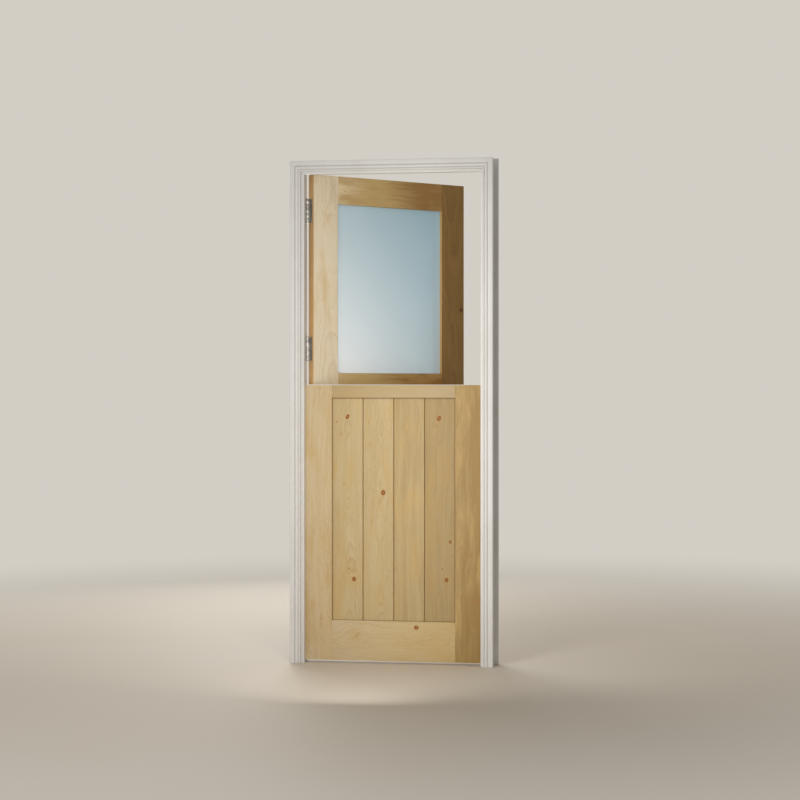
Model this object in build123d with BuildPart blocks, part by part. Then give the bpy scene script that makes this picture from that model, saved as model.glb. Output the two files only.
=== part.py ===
from build123d import *
from dataclasses import dataclass
import math
import os

# Dutch stable door: a pine door cut across into two leaves, hung in a painted lining.
# X runs along the wall, Y away from the viewer and Z up, in millimetres. The origin is the
# middle of the opening at floor level, in the plane of the wall's near face.

# Door
DOOR_WIDTH = 762
DOOR_HEIGHT = 2032
LEAF_THICKNESS = 44
LOWER_LEAF_HEIGHT = 1148
SPLIT_GAP = 3
EDGE_GAP = 3
FLOOR_GAP = 10
TOP_LEAF_OPEN_ANGLE = 46.5

# Leaf joinery
STILE_WIDTH = 118
LOWER_BOTTOM_RAIL = 166
LOWER_TOP_RAIL = 54
UPPER_BOTTOM_RAIL = 48
UPPER_TOP_RAIL = 118
TENON_THICKNESS = 14
TENON_LENGTH = 60
TENON_OUTER_SHOULDER = 8
TENON_INNER_SHOULDER = 16
TENON_CLEARANCE = 0.1
TENON_END_CLEARANCE = 1
EASED_EDGE = 1
OPENING_BEVEL = 3

# Boarded panel of the lower leaf
BOARD_COUNT = 4
BOARD_THICKNESS = 22
BOARD_EDGE_BEVEL = 3
BOARD_JOINT_GAP = 0.2
PANEL_GROOVE_DEPTH = 10
PANEL_END_CLEARANCE = 1
PANEL_FACE_CLEARANCE = 0.1
TONGUE_THICKNESS = 6
TONGUE_LENGTH = 8
TONGUE_CLEARANCE = 0.2

# Glazing of the top leaf
REBATE_WIDTH = 12
LIP_THICKNESS = 15
PANE_THICKNESS = 4
PANE_GAP = 6
PANE_EDGE_CLEARANCE = 3
SPACER_WIDTH = 6
SPACER_SETBACK = 2
BEAD_CLEARANCE = 0.2
BEAD_BEVEL = 5

# Lining and stops
LINING_THICKNESS = 28
LEAF_SETBACK = 28
HOUSING_DEPTH = 6
HOUSING_CLEARANCE = 0.1
STOP_THICKNESS = 8
STOP_FRONT_MARGIN = 2
STOP_CLEARANCE = 1
FIXING_HOLE_RADIUS = 2.75
FIXING_HOLE_HEIGHTS = (200, 700, 1300, 1800)

# Architraves
ARCHITRAVE_WIDTH = 44
ARCHITRAVE_THICKNESS = 18
FRONT_MARGIN = 3
KNUCKLE_TO_ARCHITRAVE = 4
OUTER_FLAT = 19
QUIRK_WIDTH = 2.6
QUIRK_DEPTH = 3.5
BEAD_WIDTH = 13
BEAD_RISE = 3.5
INNER_STEP = 2
ARCHITRAVE_ROUNDING = 1.5

# Hinges
HINGE_HEIGHT = 100
HINGE_END_DISTANCE = 150
FLAP_WIDTH = 30
FLAP_THICKNESS = 2
FLAP_CLEARANCE = 0.15
KNUCKLE_RADIUS = 5.5
KNUCKLE_COUNT = 5
KNUCKLE_GAP = 0.3
KNUCKLE_TO_LEAF = 0.5
PIN_RADIUS = 3
PIN_CLEARANCE = 0.05
PIN_HEAD_RADIUS = 4.6
PIN_HEAD_HEIGHT = 2.5

# Screws: head radius, shank radius, length
HINGE_SCREW = (4.1, 2.1, 22)
BOLT_SCREW = (3.2, 1.6, 16)
SCREW_TIP = 4
SCREW_POINT_RADIUS = 0.2
SCREW_CLEARANCE = 0.1
SLOT_WIDTH = 1
SLOT_DEPTH = 0.8
SCREWS_PER_FLAP = 4
PILOT_END_CLEARANCE = 1

# Bolts
BOLT_PLATE_LENGTH = 104
BOLT_PLATE_WIDTH = 36
BOLT_PLATE_THICKNESS = 2
BOLT_EDGE_MARGIN = 6
BOLT_TIP = 3
BOLT_TRAVEL = 24
ROD_RADIUS = 4
ROD_HEIGHT = 7.5
ROD_CLEARANCE = 0.15
ROD_TIP_BEVEL = 1.5
GUIDE_LENGTH = 12
GUIDE_WALL = 3.5
KNOB_NECK_RADIUS = 3
KNOB_NECK_LENGTH = 12
KNOB_RADIUS = 6.5
KNOB_END_MARGIN = 1.5
KEEP_LOOP_LENGTH = 16
KEEP_LENGTH = 40
KEEP_SCREW_SPREAD = 10
PLATE_SCREW_SPREAD = 13
FRAME_BOLT_DROP = 158
STRIKE_THICKNESS = 2
STRIKE_WIDTH = 12
STRIKE_HEIGHT = 52
STRIKE_SCREW_SPREAD = 18
STRIKE_HOLE_CLEARANCE = 0.4
STRIKE_BORE_DEPTH = 16
STRIKE_SEAT_CLEARANCE = 0.1

# The opening inside the lining
OPENING_WIDTH = DOOR_WIDTH + 2 * EDGE_GAP
OPENING_HEIGHT = FLOOR_GAP + DOOR_HEIGHT + EDGE_GAP
HALF_OPENING = OPENING_WIDTH / 2
LINING_DEPTH = LEAF_SETBACK + LEAF_THICKNESS
STOP_DEPTH = (STOP_FRONT_MARGIN, LEAF_SETBACK - STOP_CLEARANCE)

# The hinge pins stand in the middle of the gap beside the leaves, just behind their far face.
PIN_OFFSET = KNUCKLE_RADIUS + KNUCKLE_TO_LEAF
PIN_X = -HALF_OPENING + EDGE_GAP / 2
PIN_Y = LINING_DEPTH + PIN_OFFSET

# The far architraves stand clear of the knuckles, and one holds the frame bolt's strike plate.
BACK_MARGIN = KNUCKLE_RADIUS - EDGE_GAP / 2 + KNUCKLE_TO_ARCHITRAVE
BACK_INNER = HALF_OPENING + BACK_MARGIN
STRIKE_Y = LINING_DEPTH + ROD_HEIGHT

# Places on a leaf, measured from the pins: along the leaf, and through its thickness
HINGE_EDGE = EDGE_GAP / 2
LOCK_EDGE = HINGE_EDGE + DOOR_WIDTH
HINGE_SIGHT = HINGE_EDGE + STILE_WIDTH
LOCK_SIGHT = LOCK_EDGE - STILE_WIDTH
BACK_FACE = -PIN_OFFSET
FRONT_FACE = BACK_FACE - LEAF_THICKNESS
MID_LEAF = (FRONT_FACE + BACK_FACE) / 2

# Glazed unit, through the leaf's thickness
PANE_FRONT = FRONT_FACE + LIP_THICKNESS
PANE_BACK = PANE_FRONT + 2 * PANE_THICKNESS + PANE_GAP
PANE_COVER = REBATE_WIDTH - PANE_EDGE_CLEARANCE


@dataclass(frozen=True)
class Leaf:
    """One leaf: its own frame, its heights above the floor and its rails."""

    plane: Plane
    bottom: float
    top: float
    bottom_rail: float
    top_rail: float

    @property
    def sill(self):
        """Height of the opening's lower edge."""
        return self.bottom + self.bottom_rail

    @property
    def head(self):
        """Height of the opening's upper edge."""
        return self.top - self.top_rail

    @property
    def tenon_spans(self):
        """Lowest and highest level of the bottom rail's and the top rail's tenons."""
        return (
            (self.bottom + TENON_OUTER_SHOULDER, self.sill - TENON_INNER_SHOULDER),
            (self.head + TENON_INNER_SHOULDER, self.top - TENON_OUTER_SHOULDER),
        )

    @property
    def hinge_levels(self):
        """Lower end of each hinge."""
        return (
            self.bottom + HINGE_END_DISTANCE - HINGE_HEIGHT / 2,
            self.top - HINGE_END_DISTANCE - HINGE_HEIGHT / 2,
        )


def leaf_plane(open_angle):
    """A leaf's frame: X along the leaf from its pins, Y through its thickness, Z up."""
    turn = math.radians(open_angle)
    return Plane(origin=(PIN_X, PIN_Y, 0), x_dir=(math.cos(turn), math.sin(turn), 0), z_dir=(0, 0, 1))


LOWER_LEAF = Leaf(
    plane=leaf_plane(0),
    bottom=FLOOR_GAP,
    top=FLOOR_GAP + LOWER_LEAF_HEIGHT,
    bottom_rail=LOWER_BOTTOM_RAIL,
    top_rail=LOWER_TOP_RAIL,
)
UPPER_LEAF = Leaf(
    plane=leaf_plane(TOP_LEAF_OPEN_ANGLE),
    bottom=FLOOR_GAP + LOWER_LEAF_HEIGHT + SPLIT_GAP,
    top=FLOOR_GAP + DOOR_HEIGHT,
    bottom_rail=UPPER_BOTTOM_RAIL,
    top_rail=UPPER_TOP_RAIL,
)
PIN_PLANE = LOWER_LEAF.plane

# Each bolt's frame on its leaf: Z is the way it shoots, Y stands out of the leaf's far face, and
# the origin is on that face at the shooting end of the plate.
BOLT_LINE = LOCK_EDGE - STILE_WIDTH / 2
FRAME_BOLT_HEIGHT = LOWER_LEAF.top - FRAME_BOLT_DROP
LINK_BOLT = Plane(
    origin=(BOLT_LINE, BACK_FACE, UPPER_LEAF.bottom + BOLT_EDGE_MARGIN), x_dir=(-1, 0, 0), z_dir=(0, 0, -1)
)
FRAME_BOLT = Plane(
    origin=(LOCK_EDGE - BOLT_EDGE_MARGIN, BACK_FACE, FRAME_BOLT_HEIGHT), x_dir=(0, 0, -1), z_dir=(1, 0, 0)
)
GUIDE_ENDS = (0, -(BOLT_PLATE_LENGTH - GUIDE_LENGTH) / 2, -(BOLT_PLATE_LENGTH - GUIDE_LENGTH))
KEEP_START = 2 * BOLT_EDGE_MARGIN + SPLIT_GAP


def finish(piece, name):
    """Labels a finished piece and writes its file."""
    piece.part.label = name
    export_step(piece.part, f"parts/{name}.step")


def block(x, y, z, mode=Mode.ADD):
    """A box given by its lowest and highest place along each axis."""
    with Locations(((x[0] + x[1]) / 2, (y[0] + y[1]) / 2, (z[0] + z[1]) / 2)):
        Box(x[1] - x[0], y[1] - y[0], z[1] - z[0], mode=mode)


def widened(span, margin):
    """A span made longer by a margin at both ends."""
    return (span[0] - margin, span[1] + margin)


# Screws

def drive_screws(seats, screw):
    """Countersunk slotted screws, their heads flush with their seats."""
    head_radius, shank_radius, length = screw
    head_height = head_radius - shank_radius
    top = (Align.CENTER, Align.CENTER, Align.MAX)
    with Locations(*seats):
        Cone(shank_radius, head_radius, head_height, align=top)
        with Locations((0, 0, -head_height)):
            Cylinder(shank_radius, length - head_height - SCREW_TIP, align=top)
        with Locations((0, 0, SCREW_TIP - length)):
            Cone(SCREW_POINT_RADIUS, shank_radius, SCREW_TIP, align=top)
        Box(2 * head_radius, SLOT_WIDTH, SLOT_DEPTH, align=top, mode=Mode.SUBTRACT)


def countersink(seats, screw, thickness):
    """Countersunk holes through a plate for such screws."""
    head_radius, shank_radius, _ = screw
    with Locations(*seats):
        CounterSinkHole(
            shank_radius + SCREW_CLEARANCE, head_radius + SCREW_CLEARANCE, thickness, counter_sink_angle=90
        )


def drill_pilots(seats, screw):
    """Pilot holes in the wood under a plate, measured from the screws' seats."""
    _, shank_radius, length = screw
    with Locations(*seats):
        Hole(shank_radius + SCREW_CLEARANCE, length + PILOT_END_CLEARANCE)


def flap_screw_seats(levels, face, outward):
    """Staggered seats on the given face of each hinge flap, a third and two thirds across it."""
    seats = []
    for level in levels:
        for row in range(SCREWS_PER_FLAP):
            height = level + HINGE_HEIGHT * (row + 0.5) / SCREWS_PER_FLAP
            inset = FLAP_WIDTH * (1 + row % 2) / 3
            place = (face, BACK_FACE - inset, height)
            seats.append(Plane(origin=place, x_dir=(0, 0, 1), z_dir=(outward, 0, 0)))
    return seats


def bolt_screw_seats():
    """Four seats on a bolt's plate, between its guides."""
    half_way = (BOLT_PLATE_LENGTH - GUIDE_LENGTH) / 4
    levels = (-half_way - GUIDE_LENGTH / 2, half_way + GUIDE_LENGTH / 2 - BOLT_PLATE_LENGTH)
    return [
        Plane((side * PLATE_SCREW_SPREAD, BOLT_PLATE_THICKNESS, level), x_dir=(1, 0, 0), z_dir=(0, 1, 0))
        for level in levels
        for side in (-1, 1)
    ]


def keep_screw_seats():
    """Two seats on the keep, past its loop."""
    level = KEEP_START + (KEEP_LOOP_LENGTH + KEEP_LENGTH) / 2
    return [
        Plane((side * KEEP_SCREW_SPREAD, BOLT_PLATE_THICKNESS, level), x_dir=(1, 0, 0), z_dir=(0, 1, 0))
        for side in (-1, 1)
    ]


def strike_screw_seats():
    """Two seats on the strike plate, above and below the bolt."""
    return [
        Plane((BACK_INNER, STRIKE_Y, FRAME_BOLT_HEIGHT + side * STRIKE_SCREW_SPREAD), z_dir=(-1, 0, 0))
        for side in (-1, 1)
    ]


# Leaves

def bevel_opening(leaf, face, inward, size):
    """Bevels the opening's edge on one face, mitred at its corners."""
    width = LOCK_SIGHT - HINGE_SIGHT
    height = leaf.head - leaf.sill
    middle = ((HINGE_SIGHT + LOCK_SIGHT) / 2, face, (leaf.sill + leaf.head) / 2)
    with BuildSketch(
        Plane(
            origin=leaf.plane.from_local_coords(middle),
            x_dir=leaf.plane.x_dir,
            z_dir=leaf.plane.y_dir * inward,
        )
    ) as mouth:
        Rectangle(width + 2 * size, height + 2 * size)
    extrude(mouth.sketch, amount=size, taper=45, mode=Mode.SUBTRACT)


def cut_panel_groove(leaf):
    """The groove round the lower leaf's opening, and its bevels on both faces."""
    half_groove = BOARD_THICKNESS / 2 + PANEL_FACE_CLEARANCE
    block(
        widened((HINGE_SIGHT, LOCK_SIGHT), PANEL_GROOVE_DEPTH),
        widened((MID_LEAF, MID_LEAF), half_groove),
        widened((leaf.sill, leaf.head), PANEL_GROOVE_DEPTH),
        Mode.SUBTRACT,
    )
    bevel_opening(leaf, FRONT_FACE, 1, OPENING_BEVEL)
    bevel_opening(leaf, BACK_FACE, -1, OPENING_BEVEL)


def cut_glazing_rebate(leaf):
    """The rebate round the top leaf's opening, and the bevel on its near lip."""
    block(
        widened((HINGE_SIGHT, LOCK_SIGHT), REBATE_WIDTH),
        (PANE_FRONT, BACK_FACE),
        widened((leaf.sill, leaf.head), REBATE_WIDTH),
        Mode.SUBTRACT,
    )
    bevel_opening(leaf, FRONT_FACE, 1, OPENING_BEVEL)


def cut_hinge_housings(leaf):
    """Recesses in the hinge edge for the door flaps, and their screws' pilot holes."""
    for level in leaf.hinge_levels:
        block(
            (HINGE_EDGE - FLAP_THICKNESS, HINGE_EDGE + FLAP_THICKNESS),
            (BACK_FACE - FLAP_WIDTH - FLAP_CLEARANCE, BACK_FACE),
            widened((level, level + HINGE_HEIGHT), FLAP_CLEARANCE),
            Mode.SUBTRACT,
        )
    drill_pilots(flap_screw_seats(leaf.hinge_levels, HINGE_EDGE, -1), HINGE_SCREW)


def stile_blank(leaf, inner_edge, outer_edge):
    """A stile with its outer arrises eased and its two mortises cut."""
    half_tenon = TENON_THICKNESS / 2 + TENON_CLEARANCE
    reach = TENON_LENGTH + TENON_END_CLEARANCE
    into_stile = reach if outer_edge > inner_edge else -reach
    outer_corners = -1 if outer_edge > inner_edge else 0
    with BuildSketch(leaf.plane.offset(leaf.bottom)) as section:
        with Locations(((inner_edge + outer_edge) / 2, MID_LEAF)):
            Rectangle(STILE_WIDTH, LEAF_THICKNESS)
        chamfer(section.vertices().group_by(Axis.X)[outer_corners], EASED_EDGE)
    extrude(section.sketch, amount=leaf.top - leaf.bottom)
    for span in leaf.tenon_spans:
        block(
            sorted((inner_edge, inner_edge + into_stile)),
            widened((MID_LEAF, MID_LEAF), half_tenon),
            widened(span, TENON_CLEARANCE),
            Mode.SUBTRACT,
        )


def rail_blank(rail_span, tenon_span):
    """A rail between the stiles, with a stub tenon at each end."""
    block((HINGE_SIGHT, LOCK_SIGHT), (FRONT_FACE, BACK_FACE), rail_span)
    block(
        widened((HINGE_SIGHT, LOCK_SIGHT), TENON_LENGTH),
        widened((MID_LEAF, MID_LEAF), TENON_THICKNESS / 2),
        tenon_span,
    )


def hinge_stile(leaf, cut_opening):
    """The stile that carries the door flaps."""
    with BuildPart(leaf.plane) as stile:
        stile_blank(leaf, HINGE_SIGHT, HINGE_EDGE)
        cut_opening(leaf)
        cut_hinge_housings(leaf)
    return stile


def lock_stile(leaf, cut_opening, fittings):
    """The stile at the free edge, with the pilot holes of what is screwed to it."""
    with BuildPart(leaf.plane) as stile:
        stile_blank(leaf, LOCK_SIGHT, LOCK_EDGE)
        cut_opening(leaf)
        for frame, seats in fittings:
            with Locations(frame):
                drill_pilots(seats, BOLT_SCREW)
    return stile


def leaf_rail(leaf, cut_opening, rail_span, tenon_span):
    """A rail with the opening's groove or rebate along it."""
    with BuildPart(leaf.plane) as rail:
        rail_blank(rail_span, tenon_span)
        cut_opening(leaf)
    return rail


def finish_leaf_frame(leaf, name, cut_opening, fittings):
    """Makes and writes the two stiles and two rails of a leaf."""
    finish(hinge_stile(leaf, cut_opening), f"{name}_hinge_stile")
    finish(lock_stile(leaf, cut_opening, fittings), f"{name}_lock_stile")
    bottom_tenon, top_tenon = leaf.tenon_spans
    finish(leaf_rail(leaf, cut_opening, (leaf.bottom, leaf.sill), bottom_tenon), f"{name}_bottom_rail")
    finish(leaf_rail(leaf, cut_opening, (leaf.head, leaf.top), top_tenon), f"{name}_top_rail")


def panel_board(leaf, number):
    """One upright board of the panel, tongued on its lock side and grooved on its hinge side."""
    pitch = (LOCK_SIGHT - HINGE_SIGHT) / BOARD_COUNT
    first, last = number == 0, number == BOARD_COUNT - 1
    in_frame = PANEL_GROOVE_DEPTH - PANEL_END_CLEARANCE
    start = HINGE_SIGHT + number * pitch + (-in_frame if first else BOARD_JOINT_GAP / 2)
    end = HINGE_SIGHT + (number + 1) * pitch + (in_frame if last else -BOARD_JOINT_GAP / 2)
    foot = leaf.sill - in_frame
    with BuildPart(leaf.plane) as board:
        with BuildSketch(leaf.plane.offset(foot)) as section:
            with Locations(((start + end) / 2, MID_LEAF)):
                Rectangle(end - start, BOARD_THICKNESS)
            sides = section.vertices().group_by(Axis.X)
            if not first:
                chamfer(sides[0], BOARD_EDGE_BEVEL)
            if not last:
                chamfer(sides[-1], BOARD_EDGE_BEVEL)
                with Locations((end, MID_LEAF)):
                    Rectangle(TONGUE_LENGTH, TONGUE_THICKNESS, align=(Align.MIN, Align.CENTER))
            if not first:
                with Locations((start, MID_LEAF)):
                    Rectangle(
                        TONGUE_LENGTH + PANEL_END_CLEARANCE,
                        TONGUE_THICKNESS + 2 * TONGUE_CLEARANCE,
                        align=(Align.MIN, Align.CENTER),
                        mode=Mode.SUBTRACT,
                    )
        extrude(amount=leaf.head + in_frame - foot)
    return board


def glass_pane(leaf, front):
    """One pane of the sealed unit."""
    with BuildPart(leaf.plane) as pane:
        block(
            widened((HINGE_SIGHT, LOCK_SIGHT), PANE_COVER),
            (front, front + PANE_THICKNESS),
            widened((leaf.sill, leaf.head), PANE_COVER),
        )
    return pane


def pane_spacer(leaf):
    """The hollow bar that holds the two panes apart, all round."""
    outside = PANE_COVER - SPACER_SETBACK
    depth = (PANE_FRONT + PANE_THICKNESS, PANE_BACK - PANE_THICKNESS)
    with BuildPart(leaf.plane) as spacer:
        block(
            widened((HINGE_SIGHT, LOCK_SIGHT), outside), depth, widened((leaf.sill, leaf.head), outside)
        )
        block(
            widened((HINGE_SIGHT, LOCK_SIGHT), outside - SPACER_WIDTH),
            depth,
            widened((leaf.sill, leaf.head), outside - SPACER_WIDTH),
            Mode.SUBTRACT,
        )
    return spacer


def glazing_bead(leaf, side):
    """One mitred bead that holds the glass from the far side."""
    reach = REBATE_WIDTH - BEAD_CLEARANCE
    near_in, far_in, low_in, high_in = HINGE_SIGHT, LOCK_SIGHT, leaf.sill, leaf.head
    near, far, low, high = near_in - reach, far_in + reach, low_in - reach, high_in + reach
    outlines = {
        "hinge": [(near, low), (near_in, low_in), (near_in, high_in), (near, high)],
        "lock": [(far, low), (far, high), (far_in, high_in), (far_in, low_in)],
        "bottom": [(near, low), (far, low), (far_in, low_in), (near_in, low_in)],
        "top": [(near, high), (near_in, high_in), (far_in, high_in), (far, high)],
    }
    face = Plane(
        origin=leaf.plane.from_local_coords((0, BACK_FACE, 0)),
        x_dir=leaf.plane.x_dir,
        z_dir=leaf.plane.y_dir * -1,
    )
    with BuildPart(leaf.plane) as bead:
        with BuildSketch(face):
            with BuildLine():
                Polyline(*outlines[side], close=True)
            make_face()
        extrude(amount=BACK_FACE - PANE_BACK)
        bevel_opening(leaf, BACK_FACE, -1, BEAD_BEVEL)
    return bead


# Hinges

def hinge_flap(leaf, side, parity):
    """The flaps of a leaf's two hinges on one side of the gap, with every other knuckle."""
    knuckle = HINGE_HEIGHT / KNUCKLE_COUNT
    faces = sorted((side * HINGE_EDGE, side * (HINGE_EDGE + FLAP_THICKNESS)))
    plane = leaf.plane if side > 0 else PIN_PLANE
    flaps = []
    for level in leaf.hinge_levels:
        with BuildPart(plane) as flap:
            block(faces, (BACK_FACE - FLAP_WIDTH, BACK_FACE), (level, level + HINGE_HEIGHT))
            for number in range(parity, KNUCKLE_COUNT, 2):
                span = (level + number * knuckle, level + (number + 1) * knuckle)
                height = span[1] - span[0] - KNUCKLE_GAP
                block(faces, (BACK_FACE, 0), widened(span, -KNUCKLE_GAP / 2))
                with Locations((0, 0, sum(span) / 2)):
                    Cylinder(KNUCKLE_RADIUS, height)
                    Cylinder(PIN_RADIUS + PIN_CLEARANCE, height, mode=Mode.SUBTRACT)
            seats = flap_screw_seats([level], side * HINGE_EDGE, -side)
            countersink(seats, HINGE_SCREW, FLAP_THICKNESS)
        flaps.append(flap)
    return flaps


def hinge_pin(level):
    """A hinge's loose pin, with a low button at each end."""
    with BuildPart(PIN_PLANE) as pin:
        with Locations((0, 0, level + HINGE_HEIGHT / 2)):
            Cylinder(PIN_RADIUS, HINGE_HEIGHT)
        with Locations((0, 0, level + HINGE_HEIGHT)):
            Cylinder(PIN_HEAD_RADIUS, PIN_HEAD_HEIGHT, align=(Align.CENTER, Align.CENTER, Align.MIN))
        with Locations((0, 0, level)):
            Cylinder(PIN_HEAD_RADIUS, PIN_HEAD_HEIGHT, align=(Align.CENTER, Align.CENTER, Align.MAX))
        ends = pin.edges().filter_by(GeomType.CIRCLE).sort_by(Axis.Z)
        fillet([ends[0], ends[-1]], PIN_HEAD_HEIGHT / 2)
    return pin


# Bolts

def bolt_loop(start, length):
    """A rounded loop round the rod, standing on its plate."""
    outside = ROD_RADIUS + GUIDE_WALL
    block((-outside, outside), (BOLT_PLATE_THICKNESS, ROD_HEIGHT), (start, start + length))
    with Locations((0, ROD_HEIGHT, start + length / 2)):
        Cylinder(outside, length)
        Cylinder(ROD_RADIUS + ROD_CLEARANCE, length, mode=Mode.SUBTRACT)


def bolt_plate(leaf, frame):
    """A bolt's plate with its three guides."""
    half_width = BOLT_PLATE_WIDTH / 2
    with BuildPart(leaf.plane) as plate:
        with Locations(frame):
            block((-half_width, half_width), (0, BOLT_PLATE_THICKNESS), (-BOLT_PLATE_LENGTH, 0))
            for end in GUIDE_ENDS:
                bolt_loop(end - GUIDE_LENGTH, GUIDE_LENGTH)
            countersink(bolt_screw_seats(), BOLT_SCREW, BOLT_PLATE_THICKNESS)
    return plate


def bolt_rod(leaf, frame):
    """A bolt's rod, drawn back, with its knob between the two far guides."""
    length = BOLT_PLATE_LENGTH + BOLT_TIP + BOLT_TRAVEL
    knob_level = GUIDE_ENDS[2] + KNOB_NECK_RADIUS + KNOB_END_MARGIN
    upwards = (-90, 0, 0)
    with BuildPart(leaf.plane) as rod:
        with Locations(frame):
            with Locations((0, ROD_HEIGHT, BOLT_TIP - length / 2)):
                Cylinder(ROD_RADIUS, length)
            with Locations((0, ROD_HEIGHT + KNOB_NECK_LENGTH / 2, knob_level)):
                Cylinder(KNOB_NECK_RADIUS, KNOB_NECK_LENGTH, rotation=upwards)
            with Locations((0, ROD_HEIGHT + KNOB_NECK_LENGTH + KNOB_RADIUS / 2, knob_level)):
                Sphere(KNOB_RADIUS)
        tip = rod.edges().filter_by(GeomType.CIRCLE).sort_by(leaf_axis(leaf, frame))[-1]
        chamfer(tip, ROD_TIP_BEVEL)
    return rod


def leaf_axis(leaf, frame):
    """The line along which a bolt shoots."""
    start = leaf.plane.from_local_coords(frame.origin)
    ahead = leaf.plane.from_local_coords(frame.origin + frame.z_dir)
    return Axis(start, ahead - start)


def bolt_keep():
    """The keep on the lower leaf that takes the link bolt."""
    half_width = BOLT_PLATE_WIDTH / 2
    with BuildPart(LOWER_LEAF.plane) as keep:
        with Locations(LINK_BOLT):
            block(
                (-half_width, half_width), (0, BOLT_PLATE_THICKNESS), (KEEP_START, KEEP_START + KEEP_LENGTH)
            )
            bolt_loop(KEEP_START, KEEP_LOOP_LENGTH)
            countersink(keep_screw_seats(), BOLT_SCREW, BOLT_PLATE_THICKNESS)
    return keep


# Lining and stops

def lining_leg(side):
    """An upright of the lining, with its fixing holes."""
    faces = sorted((side * HALF_OPENING, side * (HALF_OPENING + LINING_THICKNESS)))
    top = OPENING_HEIGHT + HOUSING_DEPTH - HOUSING_CLEARANCE
    with BuildPart() as leg:
        block(faces, (0, LINING_DEPTH), (0, top))
        with Locations(*fixing_holes(side)):
            Hole(FIXING_HOLE_RADIUS, LINING_THICKNESS)
        if side < 0:
            with Locations((PIN_X, PIN_Y, 0)):
                for level in all_hinge_levels():
                    block(
                        (-HINGE_EDGE - FLAP_THICKNESS, -HINGE_EDGE + FLAP_THICKNESS),
                        (BACK_FACE - FLAP_WIDTH - FLAP_CLEARANCE, BACK_FACE),
                        widened((level, level + HINGE_HEIGHT), FLAP_CLEARANCE),
                        Mode.SUBTRACT,
                    )
                drill_pilots(flap_screw_seats(all_hinge_levels(), -HINGE_EDGE, 1), HINGE_SCREW)
    return leg


def all_hinge_levels():
    """Lower end of every hinge on the lining."""
    return (*LOWER_LEAF.hinge_levels, *UPPER_LEAF.hinge_levels)


def fixing_holes(side):
    """Where the lining is screwed to the wall, under the stops."""
    depth = (STOP_FRONT_MARGIN + LEAF_SETBACK - STOP_CLEARANCE) / 2
    return [
        Plane(origin=(side * HALF_OPENING, depth, height), z_dir=(-side, 0, 0))
        for height in FIXING_HOLE_HEIGHTS
    ]


def lining_head():
    """The lining's head, housed over both legs."""
    half_length = HALF_OPENING + LINING_THICKNESS
    with BuildPart() as head:
        block(
            (-half_length, half_length),
            (0, LINING_DEPTH),
            (OPENING_HEIGHT, OPENING_HEIGHT + LINING_THICKNESS),
        )
        for side in (-1, 1):
            block(
                sorted((side * (HALF_OPENING - HOUSING_CLEARANCE), side * half_length)),
                (0, LINING_DEPTH),
                (OPENING_HEIGHT, OPENING_HEIGHT + HOUSING_DEPTH),
                Mode.SUBTRACT,
            )
    return head


def leg_stop(side):
    """The stop planted on a leg, which the closed leaves meet."""
    faces = sorted((side * HALF_OPENING, side * (HALF_OPENING - STOP_THICKNESS)))
    with BuildPart() as stop:
        block(faces, STOP_DEPTH, (0, OPENING_HEIGHT - STOP_THICKNESS))
    return stop


def head_stop():
    """The stop planted under the head."""
    with BuildPart() as stop:
        block((-HALF_OPENING, HALF_OPENING), STOP_DEPTH, (OPENING_HEIGHT - STOP_THICKNESS, OPENING_HEIGHT))
    return stop


# Architraves

def moulding(plane):
    """The architrave's section: from its outer edge along X, and out of the wall along Y."""
    face = ARCHITRAVE_THICKNESS
    inner_face = face - INNER_STEP
    floor = face - QUIRK_DEPTH
    turn = ARCHITRAVE_ROUNDING
    bead_start = OUTER_FLAT + QUIRK_WIDTH
    bead_end = bead_start + BEAD_WIDTH
    inner_flat = bead_end + QUIRK_WIDTH
    with BuildSketch(plane) as section:
        with BuildLine():
            Polyline(
                (ARCHITRAVE_WIDTH, inner_face - turn), (ARCHITRAVE_WIDTH, 0), (0, 0), (0, face - turn)
            )
            RadiusArc((0, face - turn), (turn, face), turn)
            Polyline((turn, face), (OUTER_FLAT, face), (OUTER_FLAT, floor), (bead_start, floor))
            ThreePointArc(
                (bead_start, floor), ((bead_start + bead_end) / 2, floor + BEAD_RISE), (bead_end, floor)
            )
            Polyline(
                (bead_end, floor),
                (inner_flat, floor),
                (inner_flat, inner_face),
                (ARCHITRAVE_WIDTH - turn, inner_face),
            )
            RadiusArc((ARCHITRAVE_WIDTH - turn, inner_face), (ARCHITRAVE_WIDTH, inner_face - turn), turn)
        make_face()
    return section.sketch


def mitre_plane(margin, side):
    """The plane of the mitre between a leg and the head."""
    return Plane(origin=(side * (HALF_OPENING + margin), 0, OPENING_HEIGHT + margin), z_dir=(-side, 0, 1))


def architrave_leg(wall_face, outward, margin, side):
    """An upright architrave, mitred at its top."""
    outer = HALF_OPENING + margin + ARCHITRAVE_WIDTH
    section_plane = Plane(
        origin=(side * outer, wall_face, 0), x_dir=(-side, 0, 0), z_dir=(0, 0, -side * outward)
    )
    height = OPENING_HEIGHT + margin + ARCHITRAVE_WIDTH
    with BuildPart() as leg:
        extrude(moulding(section_plane), amount=-side * outward * height)
        split(bisect_by=mitre_plane(margin, side), keep=Keep.BOTTOM)
    return leg


def architrave_head(wall_face, outward, margin):
    """The architrave over the opening, mitred at both ends."""
    outer = OPENING_HEIGHT + margin + ARCHITRAVE_WIDTH
    half_length = HALF_OPENING + margin + ARCHITRAVE_WIDTH
    section_plane = Plane(
        origin=(0, wall_face, outer), x_dir=(0, 0, -1), z_dir=(outward, 0, 0)
    )
    with BuildPart() as head:
        extrude(moulding(section_plane), amount=half_length, both=True)
        for side in (-1, 1):
            split(bisect_by=mitre_plane(margin, side), keep=Keep.TOP)
    return head


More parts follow.
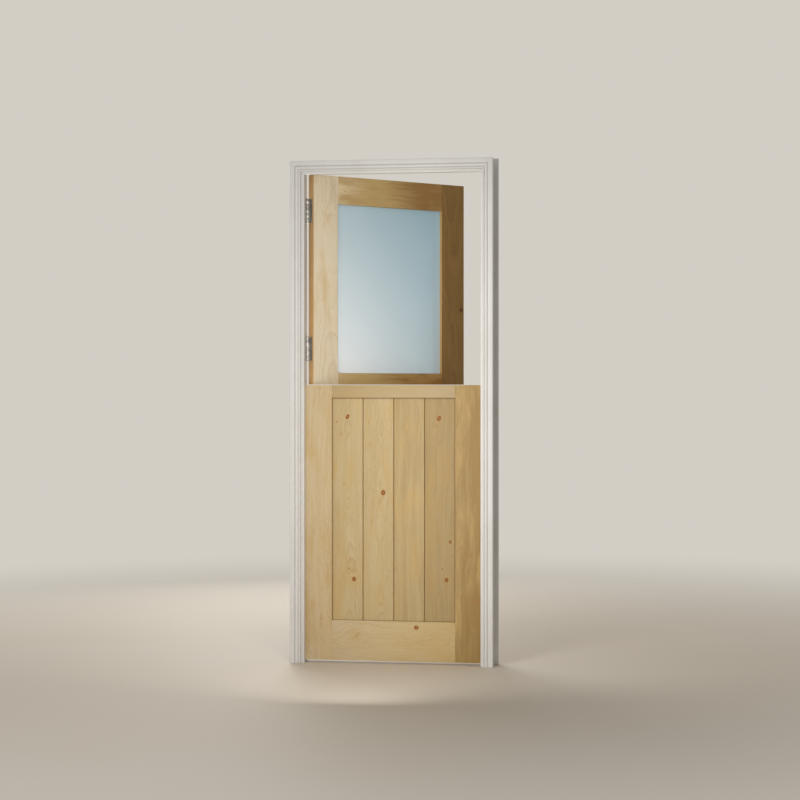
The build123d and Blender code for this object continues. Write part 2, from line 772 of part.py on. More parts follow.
def lock_architrave_with_strike():
    """The far architrave on the lock side, let in for the strike plate and bored for the bolt."""
    with BuildPart() as leg:
        add(architrave_leg(LINING_DEPTH, 1, BACK_MARGIN, 1).part)
        block(
            (BACK_INNER, BACK_INNER + STRIKE_THICKNESS),
            widened((STRIKE_Y, STRIKE_Y), STRIKE_WIDTH / 2 + STRIKE_SEAT_CLEARANCE),
            widened((FRAME_BOLT_HEIGHT, FRAME_BOLT_HEIGHT), STRIKE_HEIGHT / 2 + STRIKE_SEAT_CLEARANCE),
            Mode.SUBTRACT,
        )
        with Locations(Plane(origin=(BACK_INNER, STRIKE_Y, FRAME_BOLT_HEIGHT), z_dir=(-1, 0, 0))):
            Hole(ROD_RADIUS + STRIKE_HOLE_CLEARANCE, STRIKE_BORE_DEPTH)
        drill_pilots(strike_screw_seats(), BOLT_SCREW)
    return leg


def strike_plate():
    """The plate on the far architrave that takes the frame bolt."""
    with BuildPart() as plate:
        block(
            (BACK_INNER, BACK_INNER + STRIKE_THICKNESS),
            widened((STRIKE_Y, STRIKE_Y), STRIKE_WIDTH / 2),
            widened((FRAME_BOLT_HEIGHT, FRAME_BOLT_HEIGHT), STRIKE_HEIGHT / 2),
        )
        with Locations(Plane(origin=(BACK_INNER, STRIKE_Y, FRAME_BOLT_HEIGHT), z_dir=(-1, 0, 0))):
            Hole(ROD_RADIUS + STRIKE_HOLE_CLEARANCE, STRIKE_THICKNESS)
        countersink(strike_screw_seats(), BOLT_SCREW, STRIKE_THICKNESS)
    return plate


# Frame
finish(lining_leg(-1), "lining_hinge_leg")
finish(lining_leg(1), "lining_lock_leg")
finish(lining_head(), "lining_head")
finish(leg_stop(-1), "hinge_leg_stop")
finish(leg_stop(1), "lock_leg_stop")
finish(head_stop(), "head_stop")
finish(architrave_leg(0, -1, FRONT_MARGIN, -1), "front_architrave_hinge_leg")
finish(architrave_leg(0, -1, FRONT_MARGIN, 1), "front_architrave_lock_leg")
finish(architrave_head(0, -1, FRONT_MARGIN), "front_architrave_head")
finish(architrave_leg(LINING_DEPTH, 1, BACK_MARGIN, -1), "back_architrave_hinge_leg")
finish(lock_architrave_with_strike(), "back_architrave_lock_leg")
finish(architrave_head(LINING_DEPTH, 1, BACK_MARGIN), "back_architrave_head")
finish(strike_plate(), "strike_plate")

# Lower leaf
finish_leaf_frame(
    LOWER_LEAF,
    "lower_leaf",
    cut_panel_groove,
    ((FRAME_BOLT, bolt_screw_seats()), (LINK_BOLT, keep_screw_seats())),
)
for board_number in range(BOARD_COUNT):
    finish(panel_board(LOWER_LEAF, board_number), f"lower_leaf_board_{board_number + 1}")

# Top leaf
finish_leaf_frame(UPPER_LEAF, "top_leaf", cut_glazing_rebate, ((LINK_BOLT, bolt_screw_seats()),))
finish(glass_pane(UPPER_LEAF, PANE_FRONT), "obscure_front_pane")
finish(glass_pane(UPPER_LEAF, PANE_BACK - PANE_THICKNESS), "clear_back_pane")
finish(pane_spacer(UPPER_LEAF), "pane_spacer")
for bead_side in ("hinge", "lock", "bottom", "top"):
    finish(glazing_bead(UPPER_LEAF, bead_side), f"glazing_bead_{bead_side}")

# Hinges
for leaf_name, hung_leaf in (("lower", LOWER_LEAF), ("top", UPPER_LEAF)):
    frame_flaps = hinge_flap(hung_leaf, -1, 0)
    door_flaps = hinge_flap(hung_leaf, 1, 1)
    for hinge_number, hinge_level in enumerate(hung_leaf.hinge_levels):
        hinge_name = f"{leaf_name}_leaf_hinge_{hinge_number + 1}"
        finish(frame_flaps[hinge_number], f"{hinge_name}_frame_flap")
        finish(door_flaps[hinge_number], f"{hinge_name}_door_flap")
        finish(hinge_pin(hinge_level), f"{hinge_name}_pin")

# Bolts
finish(bolt_plate(UPPER_LEAF, LINK_BOLT), "link_bolt_plate")
finish(bolt_rod(UPPER_LEAF, LINK_BOLT), "link_bolt_rod")
finish(bolt_keep(), "link_bolt_keep")
finish(bolt_plate(LOWER_LEAF, FRAME_BOLT), "frame_bolt_plate")
finish(bolt_rod(LOWER_LEAF, FRAME_BOLT), "frame_bolt_rod")

# Screws, one group for each body
with BuildPart(PIN_PLANE) as frame_hinge_screws:
    drive_screws(flap_screw_seats(all_hinge_levels(), -HINGE_EDGE, 1), HINGE_SCREW)
finish(frame_hinge_screws, "frame_hinge_screws")

with BuildPart() as strike_screws:
    drive_screws(strike_screw_seats(), BOLT_SCREW)
finish(strike_screws, "strike_screws")

with BuildPart(LOWER_LEAF.plane) as lower_hinge_screws:
    drive_screws(flap_screw_seats(LOWER_LEAF.hinge_levels, HINGE_EDGE, -1), HINGE_SCREW)
finish(lower_hinge_screws, "lower_leaf_hinge_screws")

with BuildPart(LOWER_LEAF.plane) as lower_bolt_screws:
    with Locations(FRAME_BOLT):
        drive_screws(bolt_screw_seats(), BOLT_SCREW)
    with Locations(LINK_BOLT):
        drive_screws(keep_screw_seats(), BOLT_SCREW)
finish(lower_bolt_screws, "lower_leaf_bolt_screws")

with BuildPart(UPPER_LEAF.plane) as top_hinge_screws:
    drive_screws(flap_screw_seats(UPPER_LEAF.hinge_levels, HINGE_EDGE, -1), HINGE_SCREW)
finish(top_hinge_screws, "top_leaf_hinge_screws")

with BuildPart(UPPER_LEAF.plane) as top_bolt_screws:
    with Locations(LINK_BOLT):
        drive_screws(bolt_screw_seats(), BOLT_SCREW)
finish(top_bolt_screws, "top_leaf_bolt_screws")
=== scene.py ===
"""Finished looks of a Dutch stable door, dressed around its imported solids.

Lengths are in metres, X along the wall, Y away from the viewer and Z up. The origin is the middle
of the opening at floor level, in the plane of the wall's near face.
"""

import logging
import math
from collections.abc import Sequence
from dataclasses import dataclass, field, replace
from enum import Enum

import bmesh
import bpy
import numpy as np
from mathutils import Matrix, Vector
from numpy.typing import NDArray


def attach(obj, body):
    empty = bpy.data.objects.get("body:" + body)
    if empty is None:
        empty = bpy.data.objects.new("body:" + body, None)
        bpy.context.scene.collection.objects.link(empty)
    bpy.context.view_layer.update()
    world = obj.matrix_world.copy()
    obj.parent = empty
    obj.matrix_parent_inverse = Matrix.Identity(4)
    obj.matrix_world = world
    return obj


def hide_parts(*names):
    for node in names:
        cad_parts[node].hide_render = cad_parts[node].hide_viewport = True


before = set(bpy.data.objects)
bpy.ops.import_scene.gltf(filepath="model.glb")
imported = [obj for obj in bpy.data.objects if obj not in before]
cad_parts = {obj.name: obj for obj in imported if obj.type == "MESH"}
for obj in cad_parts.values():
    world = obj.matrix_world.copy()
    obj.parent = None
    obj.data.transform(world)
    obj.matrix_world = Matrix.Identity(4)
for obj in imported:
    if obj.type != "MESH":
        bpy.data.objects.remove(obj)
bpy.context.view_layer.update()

LOG = logging.getLogger("stable_door")
MM = 0.001
DOUBLED_WITHIN = 0.002 * MM
FLAT_WITHIN = math.radians(0.5)
ARRIS_ABOVE = math.radians(30)
CREASE_ABOVE = math.radians(35)

Array = NDArray[np.float64]
Socket = bpy.types.NodeSocket
Value = float | Socket
Colour = tuple[float, float, float]
Point = tuple[float, float, float]


# Measures


@dataclass(frozen=True)
class Opening:
    """The opening inside the lining.

    Attributes:
        half_width: From the middle to either leg.
        height: From the floor to the head.
        depth: Thickness of the wall and of the lining.
    """

    half_width: float = 384 * MM
    height: float = 2045 * MM
    depth: float = 72 * MM


@dataclass(frozen=True)
class LeafPlace:
    """Where one leaf hangs, and the opening in its frame.

    Along a leaf, distances run from the hinge pins; through it, from the pins towards the far side.

    Attributes:
        turn: How far the leaf stands open, in radians.
        bottom: Height of its lower edge.
        sill: Height of its opening's lower edge.
        head: Height of its opening's upper edge.
        top: Height of its upper edge.
        pin_x: Place of the hinge pins along the wall.
        pin_y: Place of the hinge pins from the wall's near face.
        hinge_edge: Place along the leaf of its hinge-side edge.
        hinge_sight: Place along the leaf of its opening's hinge-side edge.
        lock_sight: Place along the leaf of its opening's lock-side edge.
        back_face: Place through the leaf of its far face.
        front_face: Place through the leaf of its near face.
    """

    turn: float
    bottom: float
    sill: float
    head: float
    top: float
    pin_x: float = -382.5 * MM
    pin_y: float = 78 * MM
    hinge_edge: float = 1.5 * MM
    hinge_sight: float = 119.5 * MM
    lock_sight: float = 645.5 * MM
    back_face: float = -6 * MM
    front_face: float = -50 * MM

    def set_out(self, points: Array) -> Array:
        """Turns points from the leaf's own axes into place.

        Args:
            points: Places along the leaf, through it and above the floor, on the last axis.

        Returns:
            The same places in the shared frame.
        """
        cosine, sine = math.cos(self.turn), math.sin(self.turn)
        along, through, height = points[..., 0], points[..., 1], points[..., 2]
        return np.stack(
            (
                self.pin_x + along * cosine - through * sine,
                self.pin_y + along * sine + through * cosine,
                height,
            ),
            axis=-1,
        )


OPENING = Opening()
LOWER = LeafPlace(turn=0, bottom=10 * MM, sill=176 * MM, head=1104 * MM, top=1158 * MM)
UPPER = LeafPlace(
    turn=math.radians(46.5), bottom=1161 * MM, sill=1209 * MM, head=1924 * MM, top=2042 * MM
)


# Surfaces


def add_object(name: str, data: bpy.types.ID) -> bpy.types.Object:
    """Adds an object to the scene, at the origin.

    Args:
        name: Name of the new object.
        data: Its mesh, lamp or camera.

    Returns:
        The object.
    """
    obj = bpy.data.objects.new(name, data)
    bpy.context.scene.collection.objects.link(obj)
    return obj


def rounded_outline(corners: Sequence[tuple[float, float, float]], steps: int = 4) -> Array:
    """Rounds every corner of a closed outline with an arc.

    Each arc touches both sides that meet at its corner. Its centre lies on the corner's bisector, and
    the arc's points swing from one touching point to the other by equal angles.

    Args:
        corners: Each corner's two coordinates and its radius, in order round the outline.
        steps: Parts that each arc is divided into.

    Returns:
        The outline's points, in two columns.
    """
    table = np.array(corners, float)
    point, radius = table[:, :2], table[:, 2:]
    before = np.roll(point, 1, axis=0) - point
    after = np.roll(point, -1, axis=0) - point
    before /= np.linalg.norm(before, axis=1, keepdims=True)
    after /= np.linalg.norm(after, axis=1, keepdims=True)
    bisector = before + after
    bisector /= np.linalg.norm(bisector, axis=1, keepdims=True)
    half_angle = np.arccos(np.clip((before * after).sum(axis=1, keepdims=True), -1, 1)) / 2
    centre = point + bisector * radius / np.sin(half_angle)
    start = point + before * radius / np.tan(half_angle) - centre
    end = point + after * radius / np.tan(half_angle) - centre
    swing = math.pi - 2 * half_angle[:, :, None]
    share = np.linspace(0, 1, steps + 1)[None, :, None]
    arc = np.sin((1 - share) * swing) * start[:, None] + np.sin(share * swing) * end[:, None]
    return (centre[:, None] + arc / np.sin(swing)).reshape(-1, 2)


def swept_mesh(name: str, sections: Array) -> bpy.types.Object:
    """Skins a stack of closed sections and closes its two ends.

    The surface is a function of two parameters: the first picks the section, the second runs round
    it, and each quad joins neighbours in both.

    Args:
        name: Name of the new object.
        sections: Points by section, then by place round the section, then by axis.

    Returns:
        The object, closed, with its faces turned outwards.
    """
    rows, columns = sections.shape[:2]
    index = np.arange(rows * columns).reshape(rows, columns)
    low, high = index[:-1], index[1:]
    quads = np.stack((low, np.roll(low, -1, 1), np.roll(high, -1, 1), high), axis=-1).reshape(-1, 4)
    faces = [*quads.tolist(), index[0, ::-1].tolist(), index[-1].tolist()]
    mesh = bpy.data.meshes.new(name)
    mesh.from_pydata(sections.reshape(-1, 3), [], faces)
    tidy_shell(mesh)
    return add_object(name, mesh)


def tidy_shell(mesh: bpy.types.Mesh) -> None:
    """Merges a shell's doubled points, turns its faces outwards and smooths all but its creases.

    Args:
        mesh: The shell, which is changed in place.
    """
    shell = bmesh.new()
    shell.from_mesh(mesh)
    bmesh.ops.remove_doubles(shell, verts=shell.verts, dist=DOUBLED_WITHIN)
    bmesh.ops.recalc_face_normals(shell, faces=shell.faces)
    shell.to_mesh(mesh)
    shell.free()
    mesh.shade_smooth()
    mesh.set_sharp_from_angle(angle=CREASE_ABOVE)


def eased_copy(node: str, name: str, radius: float, steps: int = 2) -> bpy.types.Object:
    """Copies a solid, joins its faces into flats and rounds its arrises.

    Args:
        node: The solid's node.
        name: Name of the new object.
        radius: How far the rounding reaches from each arris.
        steps: Parts that each rounding is divided into.

    Returns:
        The rounded copy.
    """
    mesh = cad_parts[node].data.copy()
    mesh.name = name
    shell = bmesh.new()
    shell.from_mesh(mesh)
    bmesh.ops.remove_doubles(shell, verts=shell.verts, dist=DOUBLED_WITHIN)
    bmesh.ops.dissolve_limit(shell, angle_limit=FLAT_WITHIN, verts=shell.verts, edges=shell.edges)
    shell.to_mesh(mesh)
    shell.free()
    mesh.shade_smooth()
    obj = add_object(name, mesh)
    easing = obj.modifiers.new("eased", "BEVEL")
    easing.width = radius
    easing.segments = steps
    easing.limit_method = "ANGLE"
    easing.angle_limit = ARRIS_ABOVE
    easing.harden_normals = True
    return obj


class Side(Enum):
    """A side of a rectangular frame: the axis that it runs along, and which way is outwards."""

    HINGE = ("upright", -1)
    LOCK = ("upright", 1)
    BOTTOM = ("level", -1)
    HEAD = ("level", 1)


@dataclass(frozen=True)
class MitredFrame:
    """A section carried round a rectangle, with its pieces mitred where they meet.

    Attributes:
        left: The rectangle's lowest place along the first axis.
        right: Its highest place there.
        low: Its lower edge, or None where the frame stands on the floor.
        high: Its upper edge.
    """

    left: float
    right: float
    low: float | None
    high: float

    def piece(self, side: Side, section: Array, stations: int = 2) -> Array:
        """Carries the section along one side.

        A point of the section stands at a distance outside the rectangle and keeps it: its path runs
        parallel to the side and ends on the bisector of each corner, which is that distance past it.

        Args:
            side: The side to make.
            section: Distance outside the rectangle and depth, in two columns.
            stations: Number of sections along the side.

        Returns:
            Places along the first axis, through the depth and in height, by section and point.
        """
        run, outward = side.value
        outside, depth = section[:, 0], section[:, 1]
        if run == "upright":
            start = np.zeros_like(outside) if self.low is None else self.low - outside
            end = self.high + outside
            fixed = (self.right if outward > 0 else self.left) + outward * outside
        else:
            start, end = self.left - outside, self.right + outside
            fixed = (self.high if outward > 0 else self.low) + outward * outside
        share = np.linspace(0, 1, stations)[:, None]
        moving = start + share * (end - start)
        still, deep = np.broadcast_to(fixed, moving.shape), np.broadcast_to(depth, moving.shape)
        order = (still, deep, moving) if run == "upright" else (moving, deep, still)
        return np.stack(order, axis=-1)


# Shader nodes


def srgb(red: int, green: int, blue: int) -> Colour:
    """Turns a colour as a screen shows it into linear light.

    Args:
        red: Its red, from 0 to 255.
        green: Its green, from 0 to 255.
        blue: Its blue, from 0 to 255.

    Returns:
        The three levels of light, from 0 to 1.
    """
    share = np.array((red, green, blue)) / 255
    light = np.where(share <= 0.04045, share / 12.92, ((share + 0.055) / 1.055) ** 2.4)
    return tuple(float(level) for level in light)


class Shader:
    """Builds one material's nodes."""

    def __init__(self, name: str) -> None:
        """Starts an empty material with its output and surface.

        Args:
            name: The material's name.
        """
        self.material = bpy.data.materials.new(name)
        self.material.use_nodes = True
        self.tree = self.material.node_tree
        self.tree.nodes.clear()
        output = self.add("ShaderNodeOutputMaterial")
        self.surface = self.add("ShaderNodeBsdfPrincipled")
        self.tree.links.new(self.surface.outputs["BSDF"], output.inputs["Surface"])

    def add(self, kind: str, **settings: object) -> bpy.types.Node:
        """Adds a node and sets its properties.

        Args:
            kind: The node's type.
            **settings: Its properties by name.

        Returns:
            The node.
        """
        node = self.tree.nodes.new(kind)
        for key, value in settings.items():
            setattr(node, key, value)
        return node

    def feed(self, socket: Socket, value: Value | Sequence[float]) -> None:
        """Links a socket, or sets its constant.

        Args:
            socket: The input.
            value: A socket to link, or the constant.
        """
        if isinstance(value, bpy.types.NodeSocket):
            self.tree.links.new(value, socket)
        else:
            socket.default_value = value

    def set(self, **inputs: object) -> None:
        """Sets or links the surface's inputs; an underscore in a name stands for a space."""
        for key, value in inputs.items():
            self.feed(self.surface.inputs[key.replace("_", " ")], value)

    def math(self, operation: str, *values: Value, clamp: bool = False) -> Socket:
        """Adds a Math node.

        Args:
            operation: Blender's name of the operation.
            *values: Its inputs in order.
            clamp: Whether the result is kept between 0 and 1.

        Returns:
            The result.
        """
        node = self.add("ShaderNodeMath", operation=operation, use_clamp=clamp)
        for socket, value in zip(node.inputs, values):
            self.feed(socket, value)
        return node.outputs[0]

    def plus(self, first: Value, second: Value) -> Socket:
        """Adds two numbers."""
        return self.math("ADD", first, second)

    def minus(self, first: Value, second: Value) -> Socket:
        """Takes the second number from the first."""
        return self.math("SUBTRACT", first, second)

    def times(self, first: Value, second: Value) -> Socket:
        """Multiplies two numbers."""
        return self.math("MULTIPLY", first, second)

    def larger(self, first: Value, second: Value) -> Socket:
        """Gives the larger of two numbers."""
        return self.math("MAXIMUM", first, second)

    def apart(self, first: Value, second: Value) -> Socket:
        """Measures how far apart two numbers are."""
        return self.math("ABSOLUTE", self.minus(first, second))

    def outside(self, value: Socket, low: float, high: float) -> Socket:
        """Measures how far a value is outside a range: its distance from the middle less half."""
        return self.minus(self.apart(value, (low + high) / 2), (high - low) / 2)

    def smooth(self, value: Value, low: float, high: float, start: float = 0, end: float = 1) -> Socket:
        """Ramps smoothly from start to end while a value goes from low to high.

        Args:
            value: What drives the ramp.
            low: Where the ramp begins.
            high: Where it ends.
            start: Result before it.
            end: Result after it.

        Returns:
            The ramp's result.
        """
        node = self.add("ShaderNodeMapRange", interpolation_type="SMOOTHSTEP")
        for socket, entry in zip(node.inputs, (value, low, high, start, end)):
            self.feed(socket, entry)
        return node.outputs[0]

    def combine(self, x: Value, y: Value, z: Value) -> Socket:
        """Joins three numbers into a vector.

        Args:
            x: The first.
            y: The second.
            z: The third.

        Returns:
            The vector.
        """
        node = self.add("ShaderNodeCombineXYZ")
        for socket, value in zip(node.inputs, (x, y, z)):
            self.feed(socket, value)
        return node.outputs[0]

    def noise(self, vector: Socket, scale: float = 1, detail: float = 2, rough: float = 0.5) -> Socket:
        """Adds a noise texture and gives its value, which averages a half.

        Args:
            vector: Where it is read.
            scale: Its scale.
            detail: Number of finer layers.
            rough: Strength of the finer layers.

        Returns:
            The noise's value.
        """
        node = self.add("ShaderNodeTexNoise")
        self.feed(node.inputs["Vector"], vector)
        node.inputs["Scale"].default_value = scale
        node.inputs["Detail"].default_value = detail
        node.inputs["Roughness"].default_value = rough
        return node.outputs[0]

    def drawn_out(
        self, places: Sequence[Value], scales: Sequence[float], detail: float, rough: float
    ) -> Socket:
        """Reads noise with its own scale along each of three places, so that it runs into lines."""
        scaled = (self.times(place, scale) for place, scale in zip(places, scales))
        return self.noise(self.combine(*scaled), 1, detail, rough)

    def blend(self, share: Value, first: Colour | Socket, second: Colour | Socket) -> Socket:
        """Mixes two colours.

        Args:
            share: Share of the second colour.
            first: The first colour.
            second: The second colour.

        Returns:
            The mixed colour.
        """
        node = self.add("ShaderNodeMix", data_type="RGBA")
        self.feed(node.inputs["Factor"], share)
        for socket, colour in zip((node.inputs[6], node.inputs[7]), (first, second)):
            self.feed(socket, colour if isinstance(colour, bpy.types.NodeSocket) else (*colour, 1))
        return node.outputs[2]

    def bump(self, height: Socket, distance: float, strength: float) -> None:
        """Raises the surface's relief from a height.

        Args:
            height: The height, from 0 to 1.
            distance: Its depth in metres.
            strength: How strongly it turns the surface.
        """
        node = self.add("ShaderNodeBump")
        node.inputs["Distance"].default_value = distance
        node.inputs["Strength"].default_value = strength
        self.feed(node.inputs["Height"], height)
        self.set(Normal=node.outputs["Normal"])

    def place(self, turn: float = 0, shift: Point = (0, 0, 0)) -> Socket:
        """Reads the piece's own coordinates, turned about the upright axis and shifted.

        Args:
            turn: Angle in radians.
            shift: Shift in metres, after the turn.

        Returns:
            The coordinates.
        """
        mapping = self.add("ShaderNodeMapping")
        mapping.inputs["Rotation"].default_value = (0, 0, turn)
        mapping.inputs["Location"].default_value = shift
        self.feed(mapping.inputs["Vector"], self.add("ShaderNodeTexCoord").outputs["Object"])
        return mapping.outputs["Vector"]

    def axes(self, turn: float = 0, shift: Point = (0, 0, 0)) -> tuple[Socket, Socket, Socket]:
        """Reads the piece's own coordinates as place() does, one number for each axis.

        Args:
            turn: Angle in radians.
            shift: Shift in metres, after the turn.

        Returns:
            The three numbers.
        """
        split = self.add("ShaderNodeSeparateXYZ")
        self.feed(split.inputs[0], self.place(turn, shift))
        return tuple(split.outputs)

    def leaf_axes(self, leaf: LeafPlace) -> tuple[Socket, Socket, Socket]:
        """Reads places along a leaf, through it and above the floor, wherever it stands at rest.

        Args:
            leaf: The leaf that the piece belongs to.

        Returns:
            The three numbers.
        """
        cosine, sine = math.cos(leaf.turn), math.sin(leaf.turn)
        shift = (-leaf.pin_x * cosine - leaf.pin_y * sine, leaf.pin_x * sine - leaf.pin_y * cosine, 0)
        return self.axes(-leaf.turn, shift)


# Finishes


class Grain(Enum):
    """Which way a timber's grain runs."""

    UPRIGHT = "upright"
    LEVEL = "level"


@dataclass(frozen=True)
class Knot:
    """One knot on a timber's face.

    Attributes:
        along_leaf: Place along the leaf from the pins.
        height: Height above the floor.
        radius: Radius to the outside of its dark rim.
        depth: Strength of its colour, from 0, a swirl in the grain alone, to 1.
        tilt: How far it leans, as rise over run.
        roundness: Its width over its length.
        bow: Half width and half length, in radii, of the wood where the grain bows round it.
        pull: Share of its distance by which the grain is drawn in.
        ring: Where its ring is darkest, in radii.
    """

    along_leaf: float
    height: float
    radius: float = 7 * MM
    depth: float = 1.0
    tilt: float = 0.0
    roundness: float = 0.85
    bow: tuple[float, float] = (3.2, 6.0)
    pull: float = 0.8
    ring: float = 0.74


@dataclass(frozen=True)
class Layer:
    """One layer of noise in a timber's figure, drawn out along the grain, and its effect.

    Attributes:
        fine: Scale across and through the board.
        long: Scale along the grain.
        detail: Number of finer layers in it.
        rough: Strength of those.
        shows: The noise's values between which its effect grows.
        effect: The effect before them and after them.
    """

    fine: float
    long: float
    detail: float = 2
    rough: float = 0.5
    shows: tuple[float, float] = (0, 1)
    effect: tuple[float, float] = (0, 1)


# The first three move the growth lines, in metres. The others are shares of a colour.
WANDER = Layer(7, 1.3, 3, 0.55, effect=(-30 * MM, 30 * MM))
CURL = Layer(44, 13, 2, 0.55, effect=(-7 * MM, 7 * MM))
SWELL = Layer(1, 2.4, effect=(-24 * MM, 24 * MM))
STREAKS = Layer(85, 3.2, 3, 0.6, (0.3, 0.7), (-0.09, 0.09))
PATCHES = Layer(17, 5.0, 3, 0.55, (0.46, 0.7), (0, 0.6))
CLOUDS = Layer(11, 4.0, 2, 0.5, (0.36, 0.66), (0.35, 1))
DASHES = Layer(230, 36, 2, 0.6, (0.6, 0.74))
FIBRES = Layer(1500, 22, 2, 0.6, (0.35, 0.75), (0, 0.12))


@dataclass(frozen=True)
class Figure:
    """Reads a timber's layers of noise.

    Attributes:
        shader: The material's nodes.
        seed: Picks the timber's own figure.
        through: Place through the board.
        along: Place along the grain.
        seed_steps: How far each step of the seed moves the noise across and through.
    """

    shader: Shader
    seed: int
    through: Value
    along: Value
    seed_steps: tuple[float, float] = (1.7, 5.3)

    def noise(self, layer: Layer, across: Value) -> Socket:
        """Reads one layer, moved across and through the board by the timber's own seed.

        Args:
            layer: The layer.
            across: Place across the grain.

        Returns:
            The noise's value.
        """
        moved = (
            self.shader.math("MULTIPLY_ADD", place, layer.fine, step * self.seed)
            for place, step in zip((across, self.through), self.seed_steps)
        )
        place = self.shader.combine(*moved, self.shader.times(self.along, layer.long))
        return self.shader.noise(place, 1, layer.detail, layer.rough)

    def effect(self, layer: Layer, across: Value, strength: float = 1) -> Socket:
        """Reads one layer's effect at a place across the grain, multiplied by a strength."""
        start, end = (strength * effect for effect in layer.effect)
        return self.shader.smooth(self.noise(layer, across), *layer.shows, start, end)


@dataclass(frozen=True)
class KnotMarks:
    """What a timber's knots do to it.

    Attributes:
        pushed: Place across the grain, drawn towards each knot.
        heart: Share of the knots' inner colour.
        rim: Share of their rings' colour.
        stain: Share of the stained wood round them.
    """

    pushed: Value
    heart: Value = 0.0
    rim: Value = 0.0
    stain: Value = 0.0


@dataclass(frozen=True)
class PineFinish:
    """Planed pine with a soft, waxen matt sheen.

    Growth rings are cylinders round a pith that rises and falls behind the face, so a face shows
    arches and long lines, and a cut end shows arcs. Slow noise bends the rings, finer noise curls
    them, each knot pushes them aside, and each ring rises slowly to its darker late wood and drops
    off sharply.

    Attributes:
        name: The material's name.
        place: The leaf that the timber belongs to.
        seed: Picks the timber's own figure.
        grain: Which way the grain runs.
        centre: Place along the leaf of the timber's middle.
        pith: Distance of the pith across the board from its middle, and behind the pins' plane.
        tone: Share of heartwood's honey colour at the board's middle.
        heart_and_shade_slope: Change of that share for each metre along the leaf: heartwood, and
            painted shade deepening towards the lock side.
        figure: Strength of the growth lines.
        knots: Knots on its face.
        pale: Sapwood's colour, also painted on the lower leaf's arrises as a highlight.
        straw: Colour between sapwood and heartwood.
        golden: Colour of its soft patches.
        honey: Heartwood's colour.
        late_wood: Colour of its growth lines and fibres.
        fleck: Colour of its short dashes.
        knot_heart: Colour inside a knot.
        knot_rim: Colour of a knot's ring.
        knot_stain: Colour of the wood round a knot.
        recess_shade: Colour of the painted shade in joints and corners.
        edge_shading: Colour painted on one upright edge for how light falls on it, where it has one.
        lip_along: Place along the leaf of that edge.
        ring_width: Distance between growth rings.
        ring_rise: Power by which a ring darkens towards its late wood.
        ring_drop: Share of a ring after which its late wood ends.
    """

    name: str
    place: LeafPlace
    seed: int
    grain: Grain = Grain.UPRIGHT
    centre: float = 0.0
    pith: tuple[float, float] = (0.01, 0.04)
    tone: float = 0.3
    heart_and_shade_slope: float = 0.0
    figure: float = 0.5
    knots: tuple[Knot, ...] = ()
    pale: Colour = srgb(208, 188, 152)
    straw: Colour = srgb(195, 170, 124)
    golden: Colour = srgb(196, 164, 104)
    honey: Colour = srgb(162, 126, 72)
    late_wood: Colour = srgb(164, 128, 74)
    fleck: Colour = srgb(168, 122, 60)
    knot_heart: Colour = srgb(182, 114, 46)
    knot_rim: Colour = srgb(126, 75, 18)
    knot_stain: Colour = srgb(198, 156, 98)
    recess_shade: Colour = srgb(104, 72, 38)
    edge_shading: Colour | None = None
    lip_along: float = 0.0
    ring_width: float = 4.6 * MM
    ring_rise: float = 2.2
    ring_drop: float = 0.88

    def material(self) -> bpy.types.Material:
        """Builds the pine: its ground, then its figure, its knots, and its painted shade and
        highlights.

        Returns:
            The material.
        """
        shader = Shader(self.name)
        leafwise, through, height = shader.leaf_axes(self.place)
        across, along = self.by_grain(leafwise, height)
        figure = Figure(shader, self.seed, through, along)
        marks = self.knot_marks(shader, across, along)
        curled = shader.plus(marks.pushed, figure.effect(CURL, marks.pushed))
        bent = shader.plus(figure.effect(WANDER, marks.pushed), curled)
        lines = self.growth_lines(figure, bent)
        fibres = figure.noise(FIBRES, marks.pushed)

        body = self.ground(figure, leafwise, bent)
        visible = figure.effect(CLOUDS, marks.pushed, self.figure)
        visible = shader.larger(visible, shader.times(marks.stain, 0.75))
        for share, colour in (
            (shader.times(lines, visible), self.late_wood),
            (shader.times(figure.effect(DASHES, bent), visible), self.fleck),
            (shader.smooth(fibres, *FIBRES.shows, *FIBRES.effect), self.late_wood),
            (shader.times(marks.stain, 0.3), self.knot_stain),
            (marks.heart, self.knot_heart),
            (marks.rim, self.knot_rim),
        ):
            body = shader.blend(share, body, colour)
        # Painted shade in the lower leaf's joints and corners with a painted highlight on its arrises;
        # painted light and shade on a top-leaf stile's edge.
        if self.place is LOWER:
            body = self.paint_recess_shade_and_arris_light(shader, body, leafwise, through, height)
        elif self.edge_shading is not None:
            body = self.paint_edge_shading(shader, body, leafwise, through)
        shader.set(
            Base_Color=body,
            Roughness=shader.smooth(fibres, 0.2, 0.8, 0.5, 0.62),
            Specular_IOR_Level=0.35,
        )
        relief = shader.math("MULTIPLY_ADD", lines, -0.35, fibres)
        shader.bump(relief, 0.12 * MM, 0.35)
        return shader.material

    def by_grain(self, leafwise: Value, height: Value) -> tuple[Value, Value]:
        """Orders two places as across the grain and along it."""
        return (leafwise, height) if self.grain is Grain.UPRIGHT else (height, leafwise)

    def middle_across(self) -> float:
        """Middle of the board across its grain."""
        return self.centre if self.grain is Grain.UPRIGHT else (self.place.bottom + self.place.sill) / 2

    def ground(self, figure: Figure, leafwise: Socket, bent: Socket) -> Socket:
        """Colours the wood from sapwood to heartwood, by place along the leaf and in streaks; the
        change along the leaf is also painted shade.

        Args:
            figure: The timber's layers.
            leafwise: Place along the leaf.
            bent: Bent place across the grain.

        Returns:
            The colour, with its golden patches.
        """
        shader = figure.shader
        # Painted shade as well as heartwood: the honey share grows along the leaf towards the lock
        # side.
        start = self.tone - self.heart_and_shade_slope * self.centre
        heartwood = shader.math("MULTIPLY_ADD", leafwise, self.heart_and_shade_slope, start)
        heartwood = shader.math("ADD", heartwood, figure.effect(STREAKS, bent), clamp=True)
        body = shader.blend(shader.smooth(heartwood, 0.0, 0.5), self.pale, self.straw)
        body = shader.blend(shader.smooth(heartwood, 0.5, 1.0), body, self.honey)
        return shader.blend(figure.effect(PATCHES, bent), body, self.golden)

